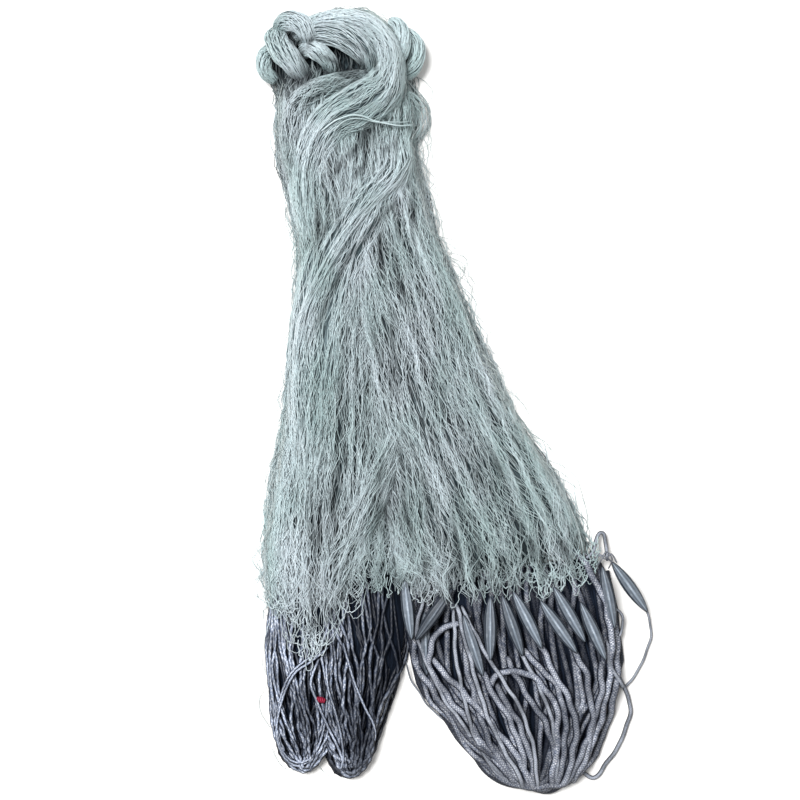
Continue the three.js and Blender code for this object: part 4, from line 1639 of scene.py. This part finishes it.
# Each bundle of the netting with its layers of threads, in the order in which Weave lists its numbers.
# The lowest layer of each fan and the head core's threads are dark with painted shade.
NET_LAYERS = (
    (
        RIGHT_FAN,
        Weave(90, 50, (-6.0, -3.0), 3.0, 0.6, (0.0, 1.0), (0.6, 0.9), (0.0, 0.35), glints=0.0),
        Weave(350, 74, (-3.0, 0.4), 3.0, 1.15, (0.3, 2.8), (0.3, 0.44), (0.24, 1.1), glints=0.2),
        Weave(76, 90, (-0.5, 1.2), 6.0, 0.6, (2.0, 4.5), (0.32, 0.42), (0.6, 1.05)),
        Weave(140, 26, (-2.5, 1.0), 2.0, 1.1, (0.0, 2.0), (0.28, 0.42), (0.3, 1.0), (0.66, 0.86), 0.3),
    ),
    (
        LEFT_FAN,
        Weave(68, 50, (-6.0, -3.0), 3.0, 0.6, (0.0, 1.0), (0.6, 0.9), (0.0, 0.35), glints=0.0),
        Weave(250, 76, (-3.0, 0.4), 3.0, 1.15, (0.3, 2.8), (0.3, 0.44), (0.3, 1.0), glints=0.2),
        Weave(54, 92, (-0.5, 1.2), 6.0, 0.6, (2.0, 4.5), (0.32, 0.42), (0.6, 1.05)),
        Weave(120, 26, (-2.5, 1.0), 2.0, 1.1, (0.0, 2.0), (0.28, 0.42), (0.3, 1.0), (0.62, 0.82), 0.3),
    ),
    (DIAGONAL_SWEEP, Weave(165, 56, (-2.5, 0.8), 2.6, 0.65, (0.4, 3.0), (0.3, 0.44), (0.7, 1.22))),
    (DIAGONAL_BAND, Weave(80, 40, (-4.5, 0.6), 1.6, 0.4, (0.0, 1.2), (0.3, 0.42), (0.68, 1.2))),
    (UPPER_SWEEP, Weave(200, 56, (-2.5, 0.8), 2.6, 0.65, (0.4, 3.0), (0.3, 0.44), (0.78, 1.28))),
    (FRONT_VEIL, Weave(110, 34, (-2.5, 1.0), 4.0, 0.9, (1.0, 5.0), (0.3, 0.42), (0.35, 1.05))),
    (NECK_LOOP, Weave(36, 24, (-8.0, 0.0), 2.0, 0.6, (0.0, 2.0), (0.26, 0.4), (0.6, 1.1))),
    (CROSSING_LOCK, Weave(70, 30, (-2.5, 0.8), 4.0, 0.9, (0.0, 3.0), (0.3, 0.42), (0.45, 1.05))),
    (HEAD_CORE, Weave(110, 20, (-2.0, 1.0), 3.0, 0.6, (0.0, 1.5), (0.4, 0.6), (-0.1, 0.35), glints=0.0)),
)


@dataclass
class Netting:
    """The gathered netting: a shaded mass, layers of threads on its bundles, the twisted head and strays."""

    seed: int = 11
    stray_seed: int = 12
    stray_sets: tuple[Strays, ...] = (
        Strays(RIGHT_FAN, count=130, edge=1, reach=22),
        Strays(LEFT_FAN, count=90, edge=-1, reach=17),
        Strays(UPPER_SWEEP, count=80, edge=1, reach=10),
    )

    def body(self) -> None:
        """Joins the skins inside the bundles and turns into the piece that stands for the solid."""
        skins = [fan.solid(FAN_SKIN) for fan in (RIGHT_FAN, LEFT_FAN)]
        skins += [sweep.solid(SWEEP_SKIN) for sweep in (UPPER_SWEEP, DIAGONAL_SWEEP, FRONT_VEIL, HEAD_CORE)]
        shape = Shape.joined(skins + [turn.core() for turn in HEAD_TURNS])
        attach(make_object("netting_body", shape), UNDERLAY.material(), Slot.TWINE, "netting")

    def threads(self) -> None:
        """Lays the threads on the bundles and the head's turns, and two thin cords over the neck."""
        rng = np.random.default_rng(self.seed)
        finish = NETTING.material()
        for bundle, *layers in NET_LAYERS:
            for number, weave in enumerate(layers, 1):
                shape = bundle.threads(weave, rng).shape()
                attach(make_object(f"{bundle.name}_threads_{number}", shape), finish, Slot.TWINE)
        turns = Tubes.joined([turn.tubes(rng) for turn in HEAD_TURNS])
        attach(make_object("head_turn_threads", turns.shape()), finish, Slot.TWINE)
        cords = Tubes.joined([route.tubes(NECK_LAY) for route in NECK_ROUTES])
        attach(make_object("neck_cords", cords.shape()), finish, Slot.TWINE)

    def strays(self) -> None:
        """Fine filaments that stand off the outline."""
        rng = np.random.default_rng(self.stray_seed)
        shape = Tubes.joined([strays.tubes(rng) for strays in self.stray_sets]).shape()
        attach(make_object("stray_filaments", shape), STRAY.material(), Slot.TWINE)

    def build(self) -> None:
        """Makes the netting's pieces."""
        self.body()
        self.threads()
        self.strays()


# Where painted light and painted shade fall on the float line: the rows that patched() takes.
FLOAT_PATCHES: Rows = (
    (75, -225, 90, 34, 0, -0.65),
    (-25, -262, 16, 40, 0, -0.5),
    (88, -360, 11, 36, 0, -0.85),
    (-2, -342, 5, 60, -40, 1.8),
    (16, -336, 7, 45, -38, -0.6),
    (84, -389, 30, 6, 0, 1.5),
)


@dataclass
class FloatLine:
    """The float line: deep and shallow bights, ropes laid over them, smooth cords and the loose bights."""

    seed: int = 5
    # The under bights' low tone is painted shade deep in the heap.
    under: Bights = Bights(
        count=14, lay=ROPE_LAY,
        radius=(3.0, 3.6), depth=(-9.0, -6.0), sway=7.0, kink=0.0, tone=(0.02, 0.22), start=0.04,
        patches=FLOAT_PATCHES, reach=(0.9, 0.97),
    )
    over: Bights = Bights(
        count=11, lay=ROPE_LAY,
        radius=(2.9, 3.7), depth=(-5.0, -1.5), sway=8.0, kink=0.0, tone=(0.3, 1.0), start=0.04,
        patches=FLOAT_PATCHES, reach=(0.88, 0.96),
    )

    def build(self) -> None:
        """Makes the heap's inside, its braided ropes, its smooth cords and its loose bights."""
        rng = np.random.default_rng(self.seed)
        heaps = (FLOAT_HEAP,)
        body = make_object("float_line_body", FLOAT_HEAP.solid(FLOAT_SKIN))
        attach(body, HEAP_UNDERLAY.material(), Slot.FLOAT_ROPE)
        hung = [bights.tubes(FLOAT_HEAP, rng) for bights in (self.under, self.over)]
        laid = [route.tubes(ROPE_LAY, heaps) for route in BRAIDED_ROUTES]
        braided = make_object("float_line_ropes", Tubes.joined(hung + laid).shape())
        attach(braided, FLOAT_BRAID.material(), Slot.FLOAT_ROPE, "float_line")
        smooth = [route.tubes(SMOOTH_LAY, heaps) for route in (*SMOOTH_ROUTES, *LOOSE_ROUTES)]
        cords = make_object("float_line_cords", Tubes.joined(smooth).shape())
        attach(cords, FLOAT_CORD.material(), Slot.FLOAT_ROPE)


@dataclass(frozen=True)
class Whipping:
    """A thread whipped round one cord of the lead line."""

    start: Span = (-139.2, -296.5)  # where its line begins in plan
    step: Span = (1.7, -0.6)  # how far a turn moves on
    turns: float = 5.0
    points: int = 80
    lift: float = 3.0  # height of its line over the heaps
    across: Span = (0.9, 2.5)  # half its width in plan
    over: float = 2.8  # half its height
    radius: float = 0.75
    sides: int = 6
    tone: Span = (0.3, 0.6)  # its lightness half way up, and the painted light that makes it that much lighter on top and darker below

    def tubes(self, heaps: tuple[Bundle, ...]) -> Tubes:
        """A helix along a short line, a cosine across and a sine over it, and half as wide at its ends.

        Args:
            heaps: What it lies on.

        Returns:
            The thread as a single tube.
        """
        turn = np.linspace(0.0, self.turns, self.points)
        x = self.start[0] + self.step[0] * turn
        y = self.start[1] + self.step[1] * turn
        z = height_over(heaps, x, y) + self.lift
        swell = 0.5 + 0.5 * np.sin(np.pi * turn / self.turns)
        across = swell * np.cos(TURN * turn)
        over = swell * np.sin(TURN * turn)
        path = np.stack([x + self.across[0] * across, y + self.across[1] * across, z + self.over * over], -1)
        tone = self.tone[0] + self.tone[1] * over
        return Tubes(path[None], np.full((1, self.points), self.radius), self.sides, tone[None])


# Where painted light and painted shade fall on the lead line: the rows that patched() takes.
LEAD_PATCHES: Rows = (
    (-152, -308, 18, 44, 0, -0.8),
    (-66, -245, 22, 70, 0, -0.85),
    (-92, -330, 16, 50, 0, -0.85),
    (-190, -275, 16, 80, 0, 1.3),
    (-120, -290, 10, 60, 0, 0.4),
)


@dataclass
class LeadLine:
    """The lead line: deep and shallow bights of weighted cord in two lobes, filaments and a red mark."""

    seed: int = 8
    # The deep and middle bights' low tones are painted shade deep in the heaps.
    deep: Bights = Bights(
        count=9, lay=LEAD_LAY,
        radius=(1.4, 1.7), depth=(-8.5, -6.5), sway=5.0, kink=0.8, tone=(0.0, 0.08), start=0.05, bulge=0.35,
    )
    middle: Bights = Bights(
        count=11, lay=LEAD_LAY,
        radius=(1.4, 1.7), depth=(-5.0, -3.0), sway=5.0, kink=0.8, tone=(0.05, 0.3), start=0.05, bulge=0.35,
        lean=1.25,
        patches=LEAD_PATCHES,
    )
    shallow: Bights = Bights(
        count=11, lay=LEAD_LAY,
        radius=(1.4, 1.75), depth=(-1.5, 1.5), sway=6.0, kink=0.8, tone=(0.6, 1.4), start=0.05, bulge=0.4,
        lean=1.25,
        patches=LEAD_PATCHES,
    )
    mark: Whipping = Whipping()

    def build(self) -> None:
        """Makes the heaps' inside, the cords, the filaments and the marking thread."""
        rng = np.random.default_rng(self.seed)
        heaps = (LEAD_LEFT_HEAP, LEAD_RIGHT_HEAP)
        body = make_object("lead_line_body", Shape.joined([heap.solid(LEAD_SKIN) for heap in heaps]))
        attach(body, HEAP_UNDERLAY.material(), Slot.LEAD_ROPE)
        layers = (self.deep, self.middle, self.shallow)
        hung = [bights.tubes(heap, rng) for bights in layers for heap in heaps]
        laid = [route.tubes(LEAD_LAY, heaps) for route in ARCH_ROUTES]
        cords = make_object("lead_line_cords", Tubes.joined(hung + laid).shape())
        attach(cords, LEAD_BRAID.material(), Slot.LEAD_ROPE, "lead_line")
        loose = Tubes.joined([route.tubes(FILAMENT_LAY, heaps) for route in FILAMENT_ROUTES])
        attach(make_object("lead_line_filaments", loose.shape()), STRAY.material(), Slot.TWINE)
        mark = make_object("marking_thread", self.mark.tubes(heaps).shape())
        attach(mark, RED_THREAD.material(), None)


@dataclass
class HemLoops:
    """Slack meshes of twine that hang from the hem in small loops over the ropes."""

    seed: int = 23
    right_line: Rows = ((-58, -176), (-30, -186), (20, -184), (70, -176), (110, -172), (140, -156))
    right_count: int = 150
    left_line: Rows = (
        (-186, -196), (-168, -214), (-152, -240), (-132, -238), (-112, -205), (-88, -182), (-62, -174),
    )
    left_count: int = 64
    points: int = 22
    drop: Span = (4.0, 24.0)  # the least that a loop falls, and how much further the longest does
    roundness: float = 0.8  # power of the sine that it falls by
    width: Span = (5.0, 26.0)
    offset: Span = (-2.0, 24.0)  # how far it begins from the line, towards the head
    lift: Span = (3.0, 7.5)  # height over the heaps
    crinkle_rise: float = 0.3  # share of its crinkle that goes up and down
    radius: Span = (0.32, 0.4)  # the least radius, and how much thicker the thickest is
    tone: Span = (0.5, 1.8)

    def loops(self, line: Rows, heaps: tuple[Bundle, ...], count: int, rng: np.random.Generator) -> Tubes:
        """Loops that fall from a line and come back: across as a straight share, down as a sine to a power.

        Args:
            line: Plan points of the hem.
            heaps: What the loops lie on.
            count: How many.
            rng: Source of the draws.

        Returns:
            The loops as tubes.
        """
        draw = Draw(rng, count, self.points)
        step = np.linspace(0.0, 1.0, self.points)
        start, _ = faired(np.array(line, float), draw.each(0.0, 1.0)[:, 0])
        least, more = self.drop
        drop = (least + more * draw.each(0.0, 1.0) ** 2) * np.sin(np.pi * step) ** self.roundness
        wide = draw.each(*self.width) * np.sign(draw.each(-1.0, 1.0))
        x = start[:, :1] + wide * (step - 0.5) + draw.crinkle()
        y = start[:, 1:] + draw.each(*self.offset) - drop + draw.crinkle()
        z = height_over(heaps, x, y) + draw.each(*self.lift) + self.crinkle_rise * draw.crinkle()
        thin, thicker = self.radius
        radius = thin + thicker * draw.each(0.0, 1.0) ** 2 + np.zeros(self.points)
        tone = draw.each(*self.tone) + np.zeros(self.points)
        return Tubes(np.stack([x, y, z], -1), radius, THREAD_SIDES, tone)

    def build(self) -> None:
        """Makes the loops of both hems as one piece."""
        rng = np.random.default_rng(self.seed)
        right = self.loops(self.right_line, (FLOAT_HEAP,), self.right_count, rng)
        left = self.loops(self.left_line, (LEAD_LEFT_HEAP, LEAD_RIGHT_HEAP), self.left_count, rng)
        attach(make_object("hem_loops", Tubes.joined([right, left]).shape()), NETTING.material(), Slot.TWINE)


@dataclass(frozen=True)
class Spindle:
    """Where a spindle float lies: its middle, the plan angle that it points along and its tip downwards."""

    x: float
    y: float
    z: float
    yaw: float  # degrees from +X towards +Y
    pitch: float  # degrees
    shade: float = 1.0  # how many times as light as usual it is: painted shadow of the ropes below one, painted light above one


SPINDLES = (
    Spindle(-48, -208, 14, -83, 2, 1.25),
    Spindle(175, -186, 18, -54, 12),
    Spindle(34, -226, 37, -90, -2, 0.8),
    Spindle(56, -223, 38, -71, 0, 0.65),
    Spindle(71, -217, 38, -63, 0, 1.1),
    Spindle(102, -224, 37, -55, 2),
    Spindle(113, -212, 35, -60, 3),
    Spindle(137, -229, 31, -66, 5),
    Spindle(17, -243, 35, -72, 0, 0.85),
    Spindle(153, -196, 24, -78, 5, 0.8),
    Spindle(-22, -212, 32, 55, -3, 0.35),
    Spindle(-30, -243, 18, -88, 0, 0.7),
)


@dataclass
class Floats:
    """The spindle floats, moulded with faint lengthwise ribs."""

    length: float = 63.0
    diameter: float = 13.0
    tip: float = 4.5  # diameter at its ends
    fullness: float = 1.9  # power of its profile
    ribs: int = 8
    rib_height: float = 0.8
    rib_fade: int = 4  # how close to its ends the ribs fade
    stations: int = 25
    sides: int = 42
    low_tone: float = 0.05  # lightness half way up its sides
    top_light: float = 0.8  # painted light: how much lighter it is on top
    top_power: int = 5  # how narrow the painted light is
    rib_light: float = 0.26  # painted light and shade: how much lighter the ribs and darker the grooves are
    end_shade: float = 0.4  # painted shade: how much darker its ends are
    end_power: int = 8  # how close to the ends that is

    def build(self) -> None:
        """Makes every float in its own place, as the piece that stands for its node."""
        finish = FOAM.material()
        for number, spindle in enumerate(SPINDLES, 1):
            piece = self.mesh(f"spindle_float_{number:02d}", spindle)
            attach(piece, finish, Slot.FOAM, f"float_{number:02d}")

    def mesh(self, name: str, spindle: Spindle) -> bpy.types.Object:
        """One float: a profile that falls off by a power of the distance from its middle, carried round.

        The ribs are a cosine round it. Its tone is painted light and shade: a power of the sine of the angle
        from its side, lighter on the ribs and darker at the ends, and then times the spindle's shade.

        Args:
            name: The piece's name.
            spindle: Where it lies.

        Returns:
            The object.
        """
        share = np.linspace(-1, 1, self.stations)[:, None]
        angle = TURN * np.arange(self.sides)[None] / self.sides
        swell = (self.diameter - self.tip) * (1 - np.abs(share) ** self.fullness)
        wave = np.cos(self.ribs * angle)
        rib = self.rib_height * wave * (1 - share**self.rib_fade)
        radius = (self.tip + swell) / 2 + rib - self.rib_height
        across = radius * np.cos(angle)
        over = radius * np.sin(angle)
        along = share * self.length / 2 + np.zeros_like(angle)
        yaw = math.radians(spindle.yaw)
        climb = math.radians(-spindle.pitch)
        level = math.cos(climb)
        ahead = np.array([math.cos(yaw) * level, math.sin(yaw) * level, math.sin(climb)])
        sideways = np.array([-math.sin(yaw), math.cos(yaw), 0.0])
        upwards = np.cross(ahead, sideways)
        middle = np.array([spindle.x, spindle.y, spindle.z])
        points = middle + along[..., None] * ahead + across[..., None] * sideways + over[..., None] * upwards
        tone = self.low_tone + self.top_light * np.sin(angle) ** self.top_power + self.rib_light * wave
        tone = np.clip(tone - self.end_shade * share**self.end_power, 0.0, 1.0)
        return make_object(name, Shape.ringed(points, tone * spindle.shade))


@dataclass(frozen=True)
class Lamp:
    """A distant soft light that faces the hank."""

    name: str
    place: tuple[float, float, float]  # where it shines from, in metres
    spread: float  # the angle that it fills, in degrees
    strength: float  # in watts a square metre

    def build(self) -> None:
        """Adds the light to the scene, turned towards the origin."""
        data = bpy.data.lights.new(self.name, "SUN")
        data.angle = math.radians(self.spread)
        data.energy = self.strength
        lamp = bpy.data.objects.new(self.name, data)
        bpy.context.scene.collection.objects.link(lamp)
        lamp.location = self.place
        lamp.rotation_euler = (-lamp.location).to_track_quat("-Z", "Y").to_euler()


@dataclass
class Studio:
    """Pale floor, soft light and a camera that looks straight down on the hank."""

    floor_half: float = 20000.0  # half the floor's width
    floor_drop: float = 0.2  # how far it lies under the ground, so that the two don't meet
    floor_colour: Colour = srgb("f4f3f1")
    floor_roughness: float = 0.7
    lamps: tuple[Lamp, ...] = (
        Lamp("key", place=(-0.8, 0.7, 2.1), spread=28.0, strength=4.7),
        Lamp("fill", place=(1.3, -0.6, 1.6), spread=60.0, strength=0.45),
    )
    surround: float = 0.35  # strength of the white light from all sides
    frame_width: float = 0.8  # what the picture's side spans at the hank, in metres
    frame_height: float = 0.03  # height over the ground at which it does, in metres
    frame_middle: Span = (-0.056, 0.002)  # plan place of the picture's middle, in metres
    lens: float = 100.0
    sensor: float = 36.0

    def floor(self) -> None:
        """A wide pale floor."""
        corners = np.array([[-1, -1, 0], [1, -1, 0], [1, 1, 0], [-1, 1, 0]])
        points = corners * self.floor_half - (0, 0, self.floor_drop)
        floor = make_object("floor", Shape(points, [np.array([[0, 1, 2, 3]])], {}, np.ones(4)))
        paper = Graph("floor_paper").finish(Base_Color=self.floor_colour, Roughness=self.floor_roughness)
        floor.data.materials.append(paper)

    def world(self) -> None:
        """A white surround, and colours shown as they are."""
        world = bpy.data.worlds.new("surround")
        world.use_nodes = True
        background = world.node_tree.nodes["Background"]
        background.inputs["Color"].default_value = (1.0, 1.0, 1.0, 1.0)
        background.inputs["Strength"].default_value = self.surround
        bpy.context.scene.world = world
        bpy.context.scene.view_settings.view_transform = "Standard"

    def camera(self) -> None:
        """A long lens straight above, with the picture's up along +Y."""
        data = bpy.data.cameras.new("camera")
        data.lens = self.lens
        data.sensor_width = self.sensor
        camera = bpy.data.objects.new("camera", data)
        bpy.context.scene.collection.objects.link(camera)
        distance = self.frame_width * self.lens / self.sensor
        camera.location = (*self.frame_middle, distance + self.frame_height)
        bpy.context.scene.camera = camera

    def build(self) -> None:
        """Sets the floor, the lights, the pale surround and the camera."""
        self.floor()
        for lamp in self.lamps:
            lamp.build()
        self.world()
        self.camera()


def main() -> None:
    """Builds the hank's pieces in order."""
    logging.basicConfig(level=logging.INFO, format="%(message)s")
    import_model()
    for part in (Studio(), Netting(), FloatLine(), LeadLine(), HemLoops(), Floats()):
        part.build()


if __name__ == "__main__":
    main()
